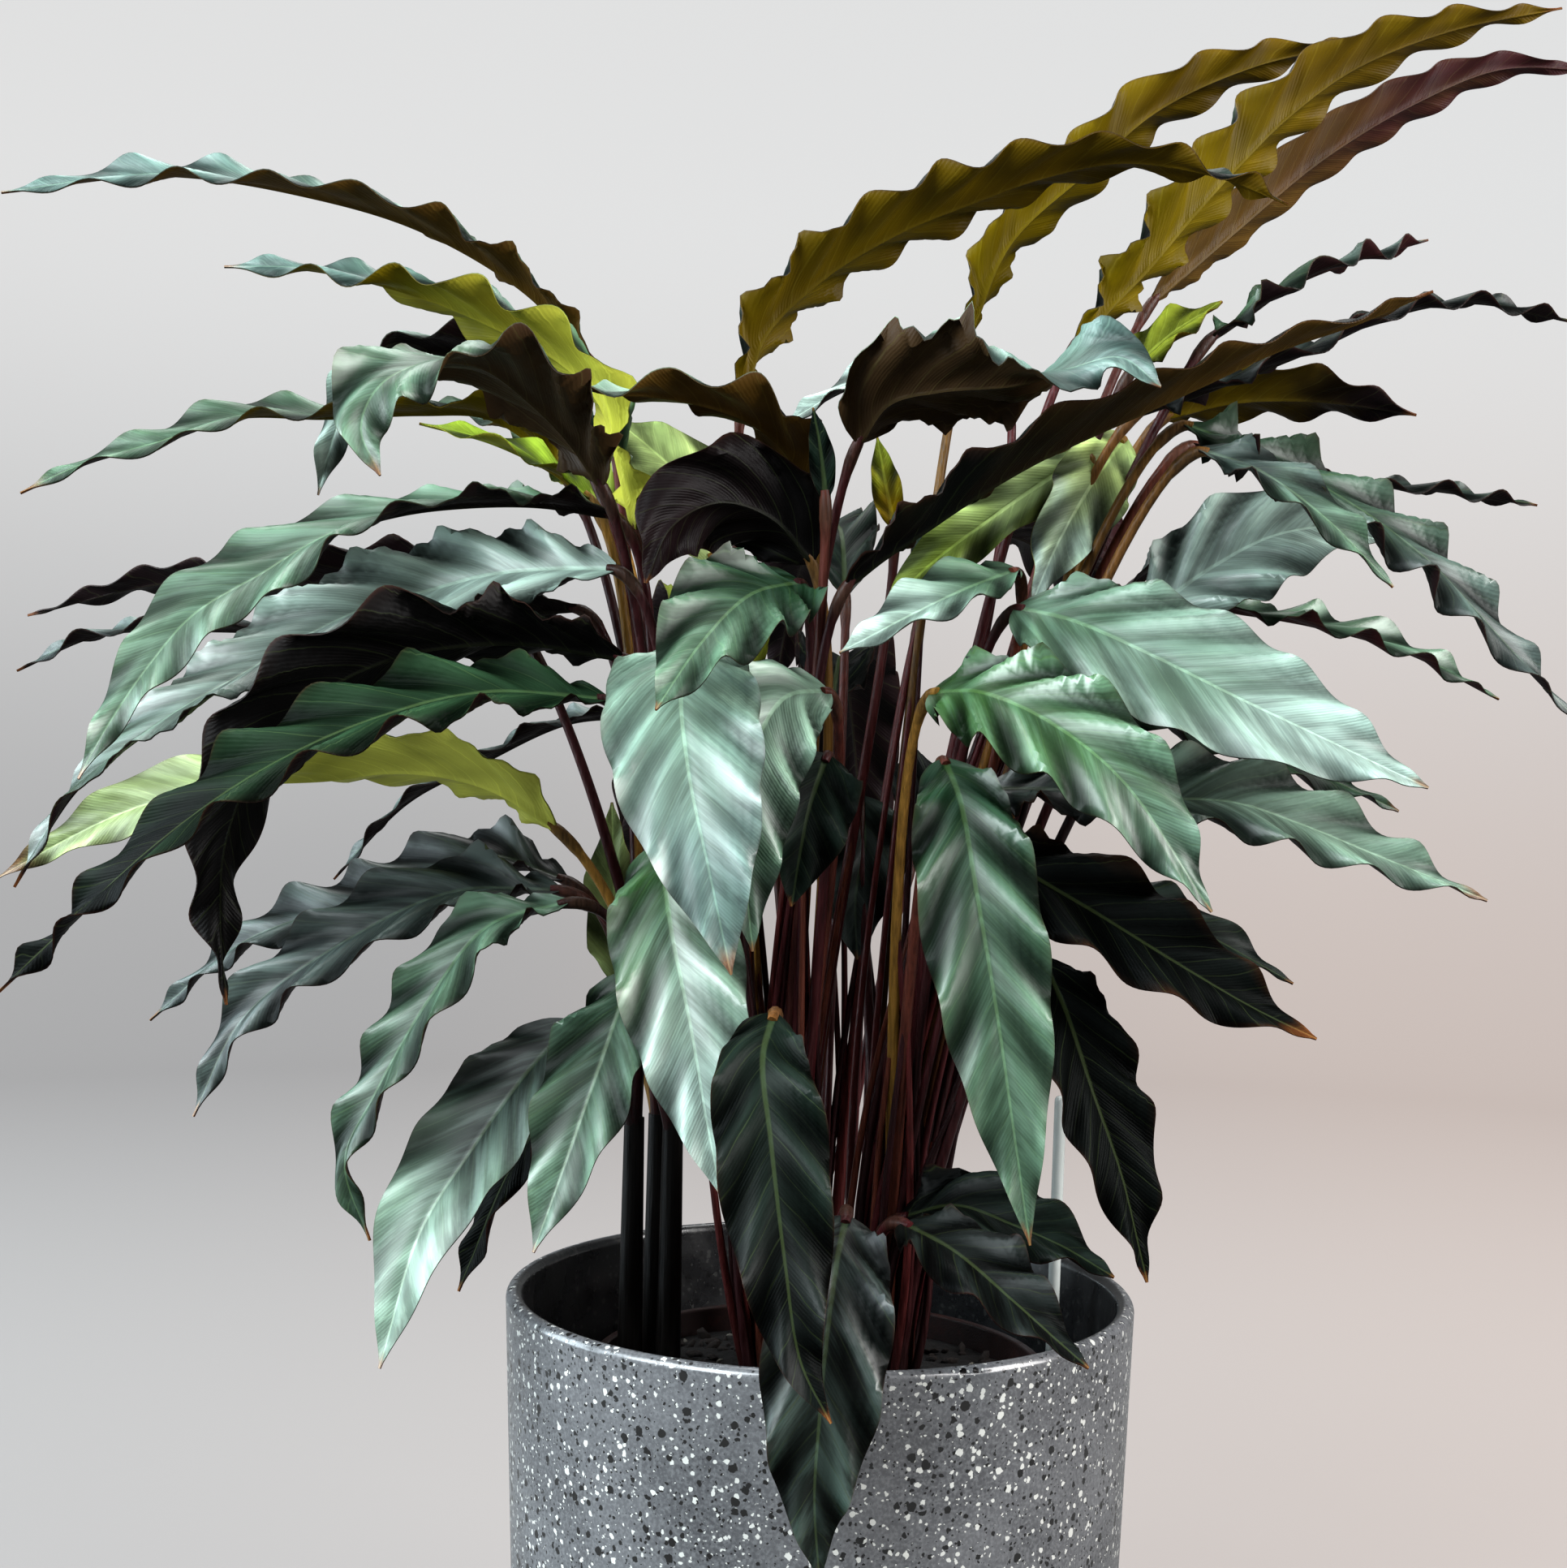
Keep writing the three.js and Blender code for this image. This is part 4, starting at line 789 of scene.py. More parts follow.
        "clump": "right", "slot": "leaf_dark", "width": 40, "upper": "black black", "under": "plum plum",
        "shine": 0.03, "scorch": 0.8,
        "faces": [(0, -0.7, 0.7), (0, -0.8, 0.6)],
        "rib": [(52, -24, 342), (89, -42, 321), (114, -52, 306), (137, -58, 293), (158, -62, 283)],
    },
    "front_18": {
        "clump": "right", "slot": "leaf_dark", "width": 34, "upper": "black black", "under": "plum plum",
        "shine": 0.0,
        "faces": [(0.3, -0.8, 0.5), (0.4, -0.9, 0.2)],
        "rib": [(72, -34, 305), (79, -46, 288), (87, -56, 263), (96, -62, 237), (104, -66, 204)],
    },
    "front_19": {
        "clump": "right", "slot": "leaf_dark", "width": 24, "upper": "deep deep", "under": "plum plum",
        "shine": 0.2,
        "faces": [(0, -0.5, 0.85), (0, -0.6, 0.8)],
        "rib": [(80, 8, 331), (109, 3, 322), (134, -4, 312), (163, -10, 296)],
    },
    "right_1": {
        "clump": "right", "slot": "leaf_olive", "width": 34, "upper": "deep deep", "under": "gold olive",
        "shine": 0.2,
        "faces": [(-0.69, 0.52, 0.5), (-0.68, 0.6, 0.42), (-0.6, 0.64, 0.48), (-0.36, 0.57, 0.74),
            (-0.23, 0.54, 0.81)],
        "rib": [(88, 28, 527), (102, 32, 543), (114, 35, 556), (131, 40, 577), (149, 46, 598),
            (170, 52, 620), (196, 56, 640), (235, 60, 657), (277, 64, 667)],
    },
    "right_2": {
        "clump": "right", "slot": "leaf_olive", "width": 28, "upper": "deep deep", "under": "gold olive",
        "shine": 0.2,
        "faces": [(-0.6, 0.65, 0.5), (-0.2, 0.7, 0.7)],
        "rib": [(50, 52, 534), (65, 56, 570), (95, 62, 600), (122, 70, 626), (161, 78, 647),
            (210, 88, 662)],
    },
    "right_3": {
        "clump": "right", "slot": "leaf_olive", "width": 28, "upper": "deep deep", "under": "brown wine",
        "shine": 0.2, "calm": 0.5,
        "faces": [(-0.5, 0.65, 0.6), (-0.1, 0.7, 0.7)],
        "rib": [(121, 58, 550), (155, 76, 582), (193, 92, 616), (233, 104, 643), (271, 114, 661),
            (312, 122, 664)],
    },
    "right_4": {
        "clump": "right", "slot": "leaf_olive", "width": 24, "upper": "green grey", "under": "plum wine",
        "shine": 0.3, "fold": 0.08, "calm": 1.5,
        "faces": [(-0.55, -0.04, 0.84), (-0.57, -0.07, 0.82), (-0.3, -0.19, 0.94), (-0.24, -0.21, 0.95)],
        "rib": [(134, 12, 526), (149, 18, 537), (165, 26, 549), (190, 36, 561), (223, 50, 573)],
    },
    "right_5": {
        "clump": "centre", "slot": "leaf_dark", "width": 40, "upper": "black black", "under": "black brown",
        "shine": 0.3, "fold": 0.3, "calm": 0.5, "scorch": 0.3,
        "faces": [(-0.6, 0.2, 0.78), (-0.5, 0.21, 0.84), (-0.41, 0.15, 0.9), (-0.37, 0.03, 0.93),
            (-0.4, -0.06, 0.91)],
        "rib": [(4, -24, 431), (15, -25, 440), (31, -26, 451), (47, -28, 462), (69, -30, 475),
            (103, -33, 491), (124, -35, 501), (147, -36, 512), (172, -37, 521), (198, -38, 532)],
    },
    "right_6": {
        "clump": "right", "slot": "leaf_dark", "width": 22, "upper": "black black", "under": "plum plum",
        "shine": 0.2, "fold": 0.08, "calm": 1.5,
        "faces": [(-0.36, -0.11, 0.93), (-0.39, -0.1, 0.91), (-0.18, -0.21, 0.96), (0.19, -0.32, 0.93)],
        "rib": [(106, 0, 496), (136, -3, 507), (169, 0, 521), (196, 6, 534), (227, 12, 541),
            (268, 20, 536)],
    },
    "right_7": {
        "clump": "right", "slot": "leaf_green", "width": 28, "upper": "green wine", "under": "moss plum",
        "shine": 0.2, "scorch": 0.5,
        "faces": [(0, 0.6, 0.8), (0, 0.5, 0.85)],
        "rib": [(121, 28, 500), (145, 27, 506), (168, 25, 507), (191, 23, 505), (211, 20, 501)],
    },
    "right_8": {
        "clump": "right", "slot": "leaf_green", "width": 35, "upper": "green grey", "under": "plum plum",
        "shine": 0.45, "fold": 0.06, "calm": 1.25,
        "faces": [(0.23, -0.54, 0.81), (0.31, -0.58, 0.75), (0.48, -0.64, 0.6), (0.42, -0.72, 0.56)],
        "rib": [(120, -15, 490), (143, -20, 480), (171, -28, 464), (198, -38, 442), (223, -48, 412),
            (243, -55, 388)],
    },
    "right_9": {
        "clump": "right", "slot": "leaf_green", "width": 44, "upper": "silver silver",
        "under": "gold brown", "shine": 1, "fold": 0.1, "calm": 0.7,
        "faces": [(-0.36, -0.8, 0.48), (-0.3, -0.87, 0.38), (-0.2, -0.91, 0.37), (-0.05, -0.94, 0.35)],
        "rib": [(114, 5, 427), (134, 5, 442), (156, 3, 454), (176, 0, 457), (193, -3, 452)],
    },
    "right_10": {
        "clump": "right", "slot": "leaf_dark", "width": 20, "upper": "black deep", "under": "plum plum",
        "shine": 0.3, "fold": 0.06, "calm": 1.6,
        "faces": [(0.29, -0.18, 0.94), (0.16, -0.19, 0.97), (0.07, -0.2, 0.98), (0.15, -0.22, 0.96)],
        "rib": [(127, 8, 487), (155, 18, 480), (188, 28, 477), (221, 36, 477), (265, 46, 473)],
    },
    "right_11": {
        "clump": "right", "slot": "leaf_green", "width": 23, "upper": "grey mint", "under": "plum plum",
        "shine": 0.6,
        "faces": [(0.1, -0.6, 0.8), (0.3, -0.7, 0.6)],
        "rib": [(122, -33, 478), (140, -42, 470), (161, -53, 452), (180, -61, 430)],
    },
    "right_12": {
        "clump": "right", "slot": "leaf_green", "width": 22, "upper": "mint mint", "under": "wine wine",
        "shine": 0.5, "calm": 1.3,
        "faces": [(0.19, -0.29, 0.94), (0.24, -0.36, 0.9), (0.41, -0.47, 0.79), (0.48, -0.57, 0.66)],
        "rib": [(140, 10, 429), (175, 16, 424), (212, 24, 415), (248, 34, 399)],
    },
    "small_left_1": {
        "clump": "left", "slot": "leaf_lime", "width": 20, "upper": "lime lime", "under": "gold lime",
        "shine": 0,
        "faces": [(0.1, -0.4, 0.9), (0, -0.3, 0.95)],
        "rib": [(-88, 10, 463), (-100, 8, 472), (-123, 4, 482), (-148, 0, 487)],
    },
    "small_left_2": {
        "clump": "left", "slot": "leaf_lime", "width": 28, "upper": "lime pale", "under": "lime olive",
        "faces": [(0.3, -0.5, 0.8), (0, -0.5, 0.85)],
        "rib": [(-84, 78, 462), (-104, 88, 486), (-130, 94, 504), (-152, 98, 510)],
    },
    "small_left_3": {
        "clump": "left", "slot": "leaf_lime", "width": 22, "upper": "cream cream", "under": "pear pear",
        "shine": 0.2,
        "faces": [(-0.3, -0.9, 0.2), (-0.3, -0.9, 0.2)],
        "rib": [(-72, 22, 286), (-77, 22, 318), (-79, 24, 354)],
    },
    "small_centre_1": {
        "clump": "centre", "slot": "leaf_lime", "width": 34, "upper": "cream cream", "under": "lime lime",
        "shine": 0.2,
        "faces": [(0, -0.9, 0.4), (0, -0.9, 0.4)],
        "rib": [(-44, 32, 444), (-53, 32, 470), (-68, 32, 485), (-81, 32, 495)],
    },
    "small_centre_2": {
        "clump": "centre", "slot": "leaf_green", "width": 9, "upper": "deep deep", "under": "plum plum",
        "shine": 0,
        "faces": [(0, -1, 0.1), (0, -1, 0.1)],
        "rib": [(-4, -23, 460), (-6, -24, 476), (-9, -24, 491)],
    },
    "small_centre_3": {
        "clump": "centre", "slot": "leaf_green", "width": 11, "upper": "moss olive", "under": "olive olive",
        "shine": 0,
        "faces": [(0, -1, 0.1), (0, -1, 0.1)],
        "rib": [(22, 20, 456), (18, 20, 474), (15, 20, 489)],
    },
    "small_centre_4": {
        "clump": "centre", "slot": "leaf_green", "width": 30, "upper": "deep deep", "under": "plum plum",
        "shine": 0.05,
        "faces": [(0.3, -0.7, 0.6), (0.2, -1, 0.1)],
        "rib": [(-2, -32, 372), (-8, -46, 353), (-13, -55, 322)],
    },
    "small_right_1": {
        "clump": "right", "slot": "leaf_green", "width": 24, "upper": "silver silver", "under": "plum plum",
        "shine": 0.8,
        "faces": [(0, -0.4, 0.9), (0, -0.4, 0.9)],
        "rib": [(62, 44, 516), (30, 42, 519), (3, 40, 510), (-20, 38, 495)],
    },
    "small_right_2": {
        "clump": "right", "slot": "leaf_olive", "width": 22, "upper": "olive olive", "under": "moss moss",
        "shine": 0,
        "faces": [(-0.4, -0.6, 0.7), (-0.4, -0.6, 0.7)],
        "rib": [(106, 8, 514), (120, 8, 527), (137, 8, 538)],
    },
    "small_right_3": {
        "clump": "right", "slot": "leaf_lime", "width": 22, "upper": "pear lime", "under": "lime lime",
        "shine": 0.2, "calm": 1.4,
        "faces": [(0.5, -0.6, 0.6), (0.5, -0.6, 0.6)],
        "rib": [(89, 4, 482), (57, 0, 459), (29, -4, 436), (14, -6, 416)],
    },
    "small_right_4": {
        "clump": "right", "slot": "leaf_lime", "width": 28, "upper": "cream silver", "under": "lime lime",
        "shine": 0.2,
        "faces": [(0.4, -0.8, 0.4), (0.3, -0.9, 0.2)],
        "rib": [(104, 16, 490), (89, -2, 468), (77, -12, 447), (68, -18, 426)],
    },
    "small_right_5": {
        "clump": "right", "slot": "leaf_green", "width": 26, "upper": "mint silver", "under": "plum plum",
        "shine": 0.25,
        "faces": [(0, -0.6, 0.8), (-0.1, -0.6, 0.8)],
        "rib": [(63, -14, 438), (45, -30, 430), (21, -48, 417), (1, -60, 405)],
    },
    "small_back_1": {
        "clump": "back", "slot": "leaf_green", "width": 40, "upper": "olive green", "under": "plum plum",
        "shine": 0,
        "faces": [(0.2, -0.3, 0.9), (-0.4, 0.8, 0.5)],
        "rib": [(-30, 72, 400), (-45, 110, 430), (-66, 165, 425), (-84, 212, 382), (-92, 240, 332)],
    },
    "small_back_2": {
        "clump": "back", "slot": "leaf_green", "width": 42, "upper": "black black", "under": "plum plum",
        "shine": 0,
        "faces": [(0, -0.2, 0.95), (0, 0.95, 0.2)],
        "rib": [(2, 78, 395), (6, 115, 415), (12, 160, 395), (18, 192, 345), (20, 206, 290)],
    },
    "small_back_3": {
        "clump": "back", "slot": "leaf_green", "width": 38, "upper": "deep deep", "under": "plum plum",
        "shine": 0,
        "faces": [(-0.2, -0.3, 0.9), (0.4, 0.8, 0.5)],
        "rib": [(36, 68, 430), (53, 104, 462), (88, 156, 468), (124, 200, 440), (152, 232, 392)],
    },
    "small_back_4": {
        "clump": "back", "slot": "leaf_green", "width": 40, "upper": "black black", "under": "plum plum",
        "shine": 0,
        "faces": [(0.1, -0.2, 0.9), (-0.3, 0.9, 0.2)],
        "rib": [(-44, 76, 325), (-58, 105, 342), (-70, 145, 322), (-77, 175, 275), (-78, 188, 230)],
    },
    "small_back_5": {
        "clump": "back", "slot": "leaf_green", "width": 40, "upper": "black black", "under": "plum plum",
        "shine": 0,
        "faces": [(-0.1, -0.2, 0.9), (0.4, 0.9, 0.2)],
        "rib": [(34, 76, 330), (47, 100, 368), (60, 140, 362), (68, 174, 318), (70, 190, 262)],
    },
    "small_back_6": {
        "clump": "back", "slot": "leaf_green", "width": 36, "upper": "deep deep", "under": "plum plum",
        "shine": 0.1,
        "faces": [(0, -0.4, 0.9), (-0.1, 0.8, 0.5)],
        "rib": [(6, 66, 436), (4, 92, 464), (-4, 135, 468), (-14, 182, 448), (-22, 224, 400)],
    },
    "small_right_6": {
        "clump": "right", "slot": "leaf_olive", "width": 24, "upper": "olive grey", "under": "wine wine",
        "shine": 0.1,
        "faces": [(0.73, 0.65, -0.22), (0.7, 0.71, -0.1)],
        "rib": [(95, 60, 483), (98, 52, 469), (102, 46, 457), (105, 42, 447)],
    },
    "small_right_7": {
        "clump": "right", "slot": "leaf_dark", "width": 26, "upper": "grey grey", "under": "plum plum",
        "faces": [(-0.67, 0.04, 0.74), (-0.33, -0.38, 0.86)],
        "rib": [(117, 66, 442), (133, 62, 455), (152, 60, 465), (172, 60, 473)],
    },
    "small_centre_5": {
        "clump": "right", "slot": "leaf_dark", "width": 34, "upper": "deep grey", "under": "plum plum",
        "faces": [(0.28, -0.93, 0.25), (0.22, -0.97, 0.09)],
        "rib": [(12, 38, 358), (14, 34, 341), (11, 30, 321), (12, 28, 298)],
    },
}
# Upper tones: besides the leaves' own greens, black is partly painted shade on leaves that hang in the
# shadow of others, and pale, blue and silver are partly a painted reflection of the lamps on the gloss
upperTones = {
    "black": "070908", "forest": "102b15", "deep": "0d1711", "green": "1d3320", "mint": "405a45",
    "pale": "708b78", "blue": "546c66", "fresh": "284c20", "lime": "7e962c", "pear": "8d9f68",
    "cream": "a9bf74", "moss": "594700", "silver": "8da298", "grey": "333d3a", "olive": "586018",
    "wine": "331c1c",
}
# Under tones: black is partly painted shade, and gold, olive and sun are partly painted light shining
# through the blade from behind
underTones = {
    "black": "080707", "plum": "170d0f", "umber": "3a2a18", "brown": "543c14", "olive": "5c4604",
    "gold": "6e5c00", "moss": "594700", "lime": "b0b23c", "pear": "bcc05a", "sun": "eef36a",
    "wine": "3a1a1c",
}
blade = {
    "waveLength": 30, "waveHeight": 0.12, "waveReach": 1.35, "waveNeck": 1.1, "waveLoss": 0.35,
    "waveChange": 0.7, "calmEnd": 1.2, "cusp": 0.06, "scallop": 0.03, "sway": 1.1, "slip": 0.7,
    "frill": 0.45, "frillEnd": 0.38, "frillFar": 0.95, "frillFade": 0.26, "frillWaves": 2.9,
    "fold": 0.26, "foldLoss": 0.5, "widest": 0.72, "fullness": 0.75, "tipFullness": 0.2,
    "neckWidth": 3.6, "neckLength": 0.15, "tipWidth": 0.7, "veinSlant": 1.5, "pleat": 0.06,
    "pleatLength": 11.8, "pleatHalf": 8, "groove": 0.45, "grooveWidth": 1.6, "grooveHalf": 6,
    "thickness": 0.55, "ribNeck": 1.5, "ribTip": 0.35, "ribWidth": 1.3,
    "across": 16, "crowding": 1.25, "rowLength": 1.9, "shine": 0.2, "scorch": 0.12,
}
leafSkin = {
    "veins": 1.15, "veinFrom": 0.9, "vein": 0.28, "fineVeins": 40.0, "fineHeight": 0.1,
    "wobbleScale": 1.1, "wobble": 0.7, "patchStretch": (1.15, 0.6, 1.0), "patchScale": 1.1,
    # silver is a painted sheen, added to the upper tone on the patches
    "patchFrom": 0.4, "patchTo": 0.64, "patchTone": 0.8, "silver": (0.03, 0.05, 0.042),
    "midribFrom": 1.3, "midribTo": 0.55, "litTimes": 1.9, "litPlus": (0.035, 0.05, 0.015),
    "marginFrom": 0.965, "margin": 0.25, "grainScale": 26.0, "grainHeight": 0.06, "rough": 0.4,
    # trough and crest scale the upper tone as painted shade in the waves' troughs and painted light on
    # their crests
    "roughGrain": 0.1, "troughShade": 0.12, "crestLight": 1.4, "coat": 0.66, "coatPatch": 0.48,
    "edge": "3a2018", "burnt": "6b3d1c",
}


def makeVeinGroup():
    takes = {"Relief": "Float", "Silver": "Float", "Rib": "Float"}
    gives = {"Tone": "Color", "Rough": "Float", "Height": "Float", "Coat": "Float"}
    group, entry, leave = newGroup("leafVeins", takes, gives)
    along = put(group, "UVMap", uv_map="veins").outputs["UV"]
    q, v, _ = put(group, "SeparateXYZ", {0: along}).outputs
    tone = readLayer(group, "tone", "Color")
    side = calc(group, "MULTIPLY", calc(group, "LESS_THAN", v, 0.0), 0.5)
    wobble = noiseOn(group, along, leafSkin["wobbleScale"], 1.0)
    wobble = calc(group, "MULTIPLY_ADD", wobble, leafSkin["wobble"], side)
    phase = calc(group, "FRACT", calc(group, "MULTIPLY_ADD", q, leafSkin["veins"], wobble))
    ridge = calc(group, "MULTIPLY", calc(group, "ABSOLUTE", calc(group, "SUBTRACT", phase, 0.5)), 2.0)
    vein = fade(group, ridge, leafSkin["veinFrom"], 1.0)
    fine = calc(group, "SINE", calc(group, "MULTIPLY", q, leafSkin["fineVeins"]))
    # patches drawn out along the veins, darker and paler
    stretched = calcVector(group, "MULTIPLY", along, leafSkin["patchStretch"])
    streak = noiseOn(group, stretched, leafSkin["patchScale"], 4.0, 0.55)
    patch = fade(group, streak, leafSkin["patchFrom"], leafSkin["patchTo"])
    midrib = fade(group, readLayer(group, "offRib"), leafSkin["midribFrom"], leafSkin["midribTo"])
    margin = fade(group, calc(group, "ABSOLUTE", v), leafSkin["marginFrom"], 1.0)
    swing = calc(group, "MULTIPLY_ADD", patch, leafSkin["patchTone"], -leafSkin["patchTone"] / 2)
    swing = calc(group, "MULTIPLY", entry["Rib"], swing)
    tone = scaleTone(group, tone, calc(group, "ADD", swing, 1.0))
    # painted sheen: a silver highlight added to the tone on the patches, but not on the veins, as strong as
    # the leaf's shine
    silver = calcVector(group, "ADD", tone, leafSkin["silver"])
    shine = readLayer(group, "shine")
    share = calc(group, "MULTIPLY", calc(group, "MULTIPLY", patch, entry["Silver"]),
                 calc(group, "MULTIPLY", shine, calc(group, "SUBTRACT", 1.0, vein)))
    tone = mixTone(group, share, tone, silver)
    lit = calcVector(group, "ADD", scaleTone(group, tone, leafSkin["litTimes"]), leafSkin["litPlus"])
    tone = mixTone(group, calc(group, "MULTIPLY", vein, leafSkin["vein"]), tone, lit)
    tone = mixTone(group, calc(group, "MULTIPLY", midrib, entry["Rib"]), tone, lit)
    edge = calc(group, "MULTIPLY", margin, leafSkin["margin"])
    tone = mixTone(group, edge, tone, paint(leafSkin["edge"]))
    grain = noiseOn(group, along, leafSkin["grainScale"], 0.0)
    rough = calc(group, "MULTIPLY_ADD", grain, leafSkin["roughGrain"], leafSkin["rough"])
    # the skin puffs up between the veins
    puff = calc(group, "SINE", calc(group, "MULTIPLY", phase, math.pi))
    puff = calc(group, "MULTIPLY", puff, fade(group, streak, 0.3, 0.7, 0.35, 1.0))
    relief = calc(group, "MULTIPLY_ADD", fine, leafSkin["fineHeight"], puff)
    relief = calc(group, "MULTIPLY_ADD", grain, leafSkin["grainHeight"], relief)
    relief = calc(group, "MULTIPLY", relief, calc(group, "SUBTRACT", 1.0, midrib))
    height = calc(group, "MULTIPLY", relief, entry["Relief"])
    # painted light and shade: the tone is paler on the waves' crests and darker in their troughs, and the
    # coat is glossier on the crests
    crestLight = fade(group, readLayer(group, "crestLight"), -0.6, 0.6, leafSkin["troughShade"], leafSkin["crestLight"])
    tone = scaleTone(group, tone, crestLight)
    coat = calc(group, "MULTIPLY_ADD", patch, leafSkin["coatPatch"], leafSkin["coat"])
    coat = calc(group, "MULTIPLY", calc(group, "MULTIPLY", shine, crestLight), coat)
    for label, socket in (("Tone", tone), ("Rough", rough), ("Height", height), ("Coat", coat)):
        group.links.new(socket, leave[label])
    return group


leafVeins = makeVeinGroup()


def leafFinish(name, relief, silver, rib, fixed):
    finish, tree, shader = newFinish(name, fixed)
    out = useGroup(tree, leafVeins, Relief=relief, Silver=silver, Rib=rib)
    feed(tree, shader, "Base Color", out["Tone"])
    feed(tree, shader, "Roughness", out["Rough"])
    if silver:
        feed(tree, shader, "Coat Weight", out["Coat"])
    feedBump(tree, shader, out["Height"], 0.0005, 0.6)
    return finish


leafUpper = leafFinish("leafUpper", 1.0, 1.0, 0.6, {
    "Specular IOR Level": 0.02, "Specular Tint": (0.88, 1.0, 0.96, 1), "Coat Roughness": 0.4,
    "Coat IOR": 1.7, "Coat Tint": (0.97, 1.0, 0.99, 1),
})
leafUnder = leafFinish("leafUnder", -0.8, 0.0, 0.12, {"Specular IOR Level": 0.06})


# The way that the upper side looks at a part of the length, between the ways that are given
def faceAt(leaf, part):
    spot = part * (len(leaf["faces"]) - 1)
    i = min(int(spot), len(leaf["faces"]) - 2)
    return Vector(leaf["faces"][i]).lerp(Vector(leaf["faces"][i + 1]), spot - i)


# The shape of a blade as rows across its rib: the solids' own form, with finer waves
def bladeRows(name, leaf):
    placeAt, headingAt, length = smoothCurve(leaf["rib"])
    waves = max(2, round(length / mm / blade["waveLength"]))
    steps = 2 * waves + 1
    rows = max(24, round(length / mm / blade["rowLength"]))
    seed = Vector((sum(ord(letter) for letter in name) * 0.37, len(name), 0))
    made = []
    for i in range(rows + 1):
        part = i / rows
        heading = headingAt(part)
        side = heading.cross(faceAt(leaf, part)).normalized()
        full = blade["fullness"] + blade["tipFullness"] * ease(0.6, 1.0, part)
        swell = math.sin(math.pi * min(part, 1) ** blade["widest"]) ** full if 0 < part < 1 else 0
        least = ease(0, blade["neckLength"], part)
        least = blade["neckWidth"] + (blade["tipWidth"] - blade["neckWidth"]) * least
        half = max(leaf["width"] * swell, least) / 2 * mm
        lift = leaf["width"] * blade["waveHeight"] * mm * (blade["waveNeck"] - blade["waveLoss"] * part)
        lift *= leaf.get("calm", 1) * (1 + blade["waveChange"] * noise.noise(seed + upright * part * 5))
        lift *= ease(0, blade["calmEnd"] / steps, part) * ease(0, blade["calmEnd"] / steps, 1 - part)
        made.append({
            "part": part, "middle": placeAt(part), "side": side, "up": side.cross(heading),
            "half": half, "lift": lift, "steps": steps, "length": length,
            "fold": leaf.get("fold", blade["fold"]) * (1 - blade["foldLoss"] * ease(0.5, 1, part)),
            "sway": blade["sway"] * noise.noise(seed + Vector((9, 3, part * 3))),
            "slip": blade["slip"] * noise.noise(seed + Vector((4, 8, part * 4))),
            "swing": min(lift / (leaf["width"] * blade["waveHeight"] * mm), 1.2),
            "frill": leaf.get("frill", blade["frill"]),
            "frillEnd": blade["frillFar"] if "frill" in leaf else blade["frillEnd"],
            "rib": (blade["ribNeck"] + (blade["ribTip"] - blade["ribNeck"]) * part ** 0.6) * mm,
        })
    return made


# At v from -1 to 1 across: the height over the rib's plane, how far a point is pushed outwards, and
# whether a crest or a trough of the waves passes there, for the painted light and shade on the upper side
def bladeLift(row, v):
    out = abs(v)
    away = out * row["half"]
    side = 1 if v > 0 else -1
    vein = row["part"] + (row["half"] - away) * blade["veinSlant"] / row["length"]
    turn = math.pi * row["steps"] * vein + row["sway"] + side * row["slip"]
    wave = side * math.cos(turn) + blade["cusp"] * math.cos(2 * turn)
    near = 1 - ease(row["frillEnd"] - blade["frillFade"], row["frillEnd"], row["part"])
    wave += side * row["frill"] * math.cos(blade["frillWaves"] * turn) * near * out**2
    height = row["lift"] * wave * out ** blade["waveReach"] + away * row["fold"]
    pleat = math.sin(2 * math.pi * vein * row["length"] / (blade["pleatLength"] * mm))
    pleat *= min(out * 2.5, 1) * (1 - out**4) * min(row["half"] / (blade["pleatHalf"] * mm), 1)
    height += blade["pleat"] * mm * pleat
    groove = math.exp(-((away / (blade["grooveWidth"] * mm)) ** 2))
    height -= blade["groove"] * mm * groove * min(row["half"] / (blade["grooveHalf"] * mm), 1)
    push = 1 + blade["scallop"] * side * math.sin(turn) * out**3
    return height, push, wave * out * row["swing"]


# The tone at v: from the neck's to the tip's, clouded and shaded, and burnt at the tip and margins
def bladeTone(leaf, row, v, kinds, palette, seed):
    start, end = [paint(palette[kind]) for kind in leaf[kinds].split()]
    part = row["part"]
    cloud = noise.noise(seed + Vector((part * 6, v * 1.2, 0)))
    tone = blend(start, end, ease(0.15, 0.85, part + 0.25 * cloud))
    tone = blend(tone, (0, 0, 0, 1), 0.12 + 0.3 * noise.noise(seed + Vector((part * 14, v * 3, 5))))
    scorch = leaf.get("scorch", blade["scorch"])
    burnt = ease(0.985 - 0.1 * scorch, 1.0 - 0.03 * scorch, part + 0.03 * cloud)
    burnt = max(burnt, scorch * 0.15 * ease(0.9 - 0.12 * scorch, 1.0, abs(v) + 0.2 * cloud * scorch))
    return blend(tone, paint(leafSkin["burnt"]), min(burnt, 1) * 0.9)


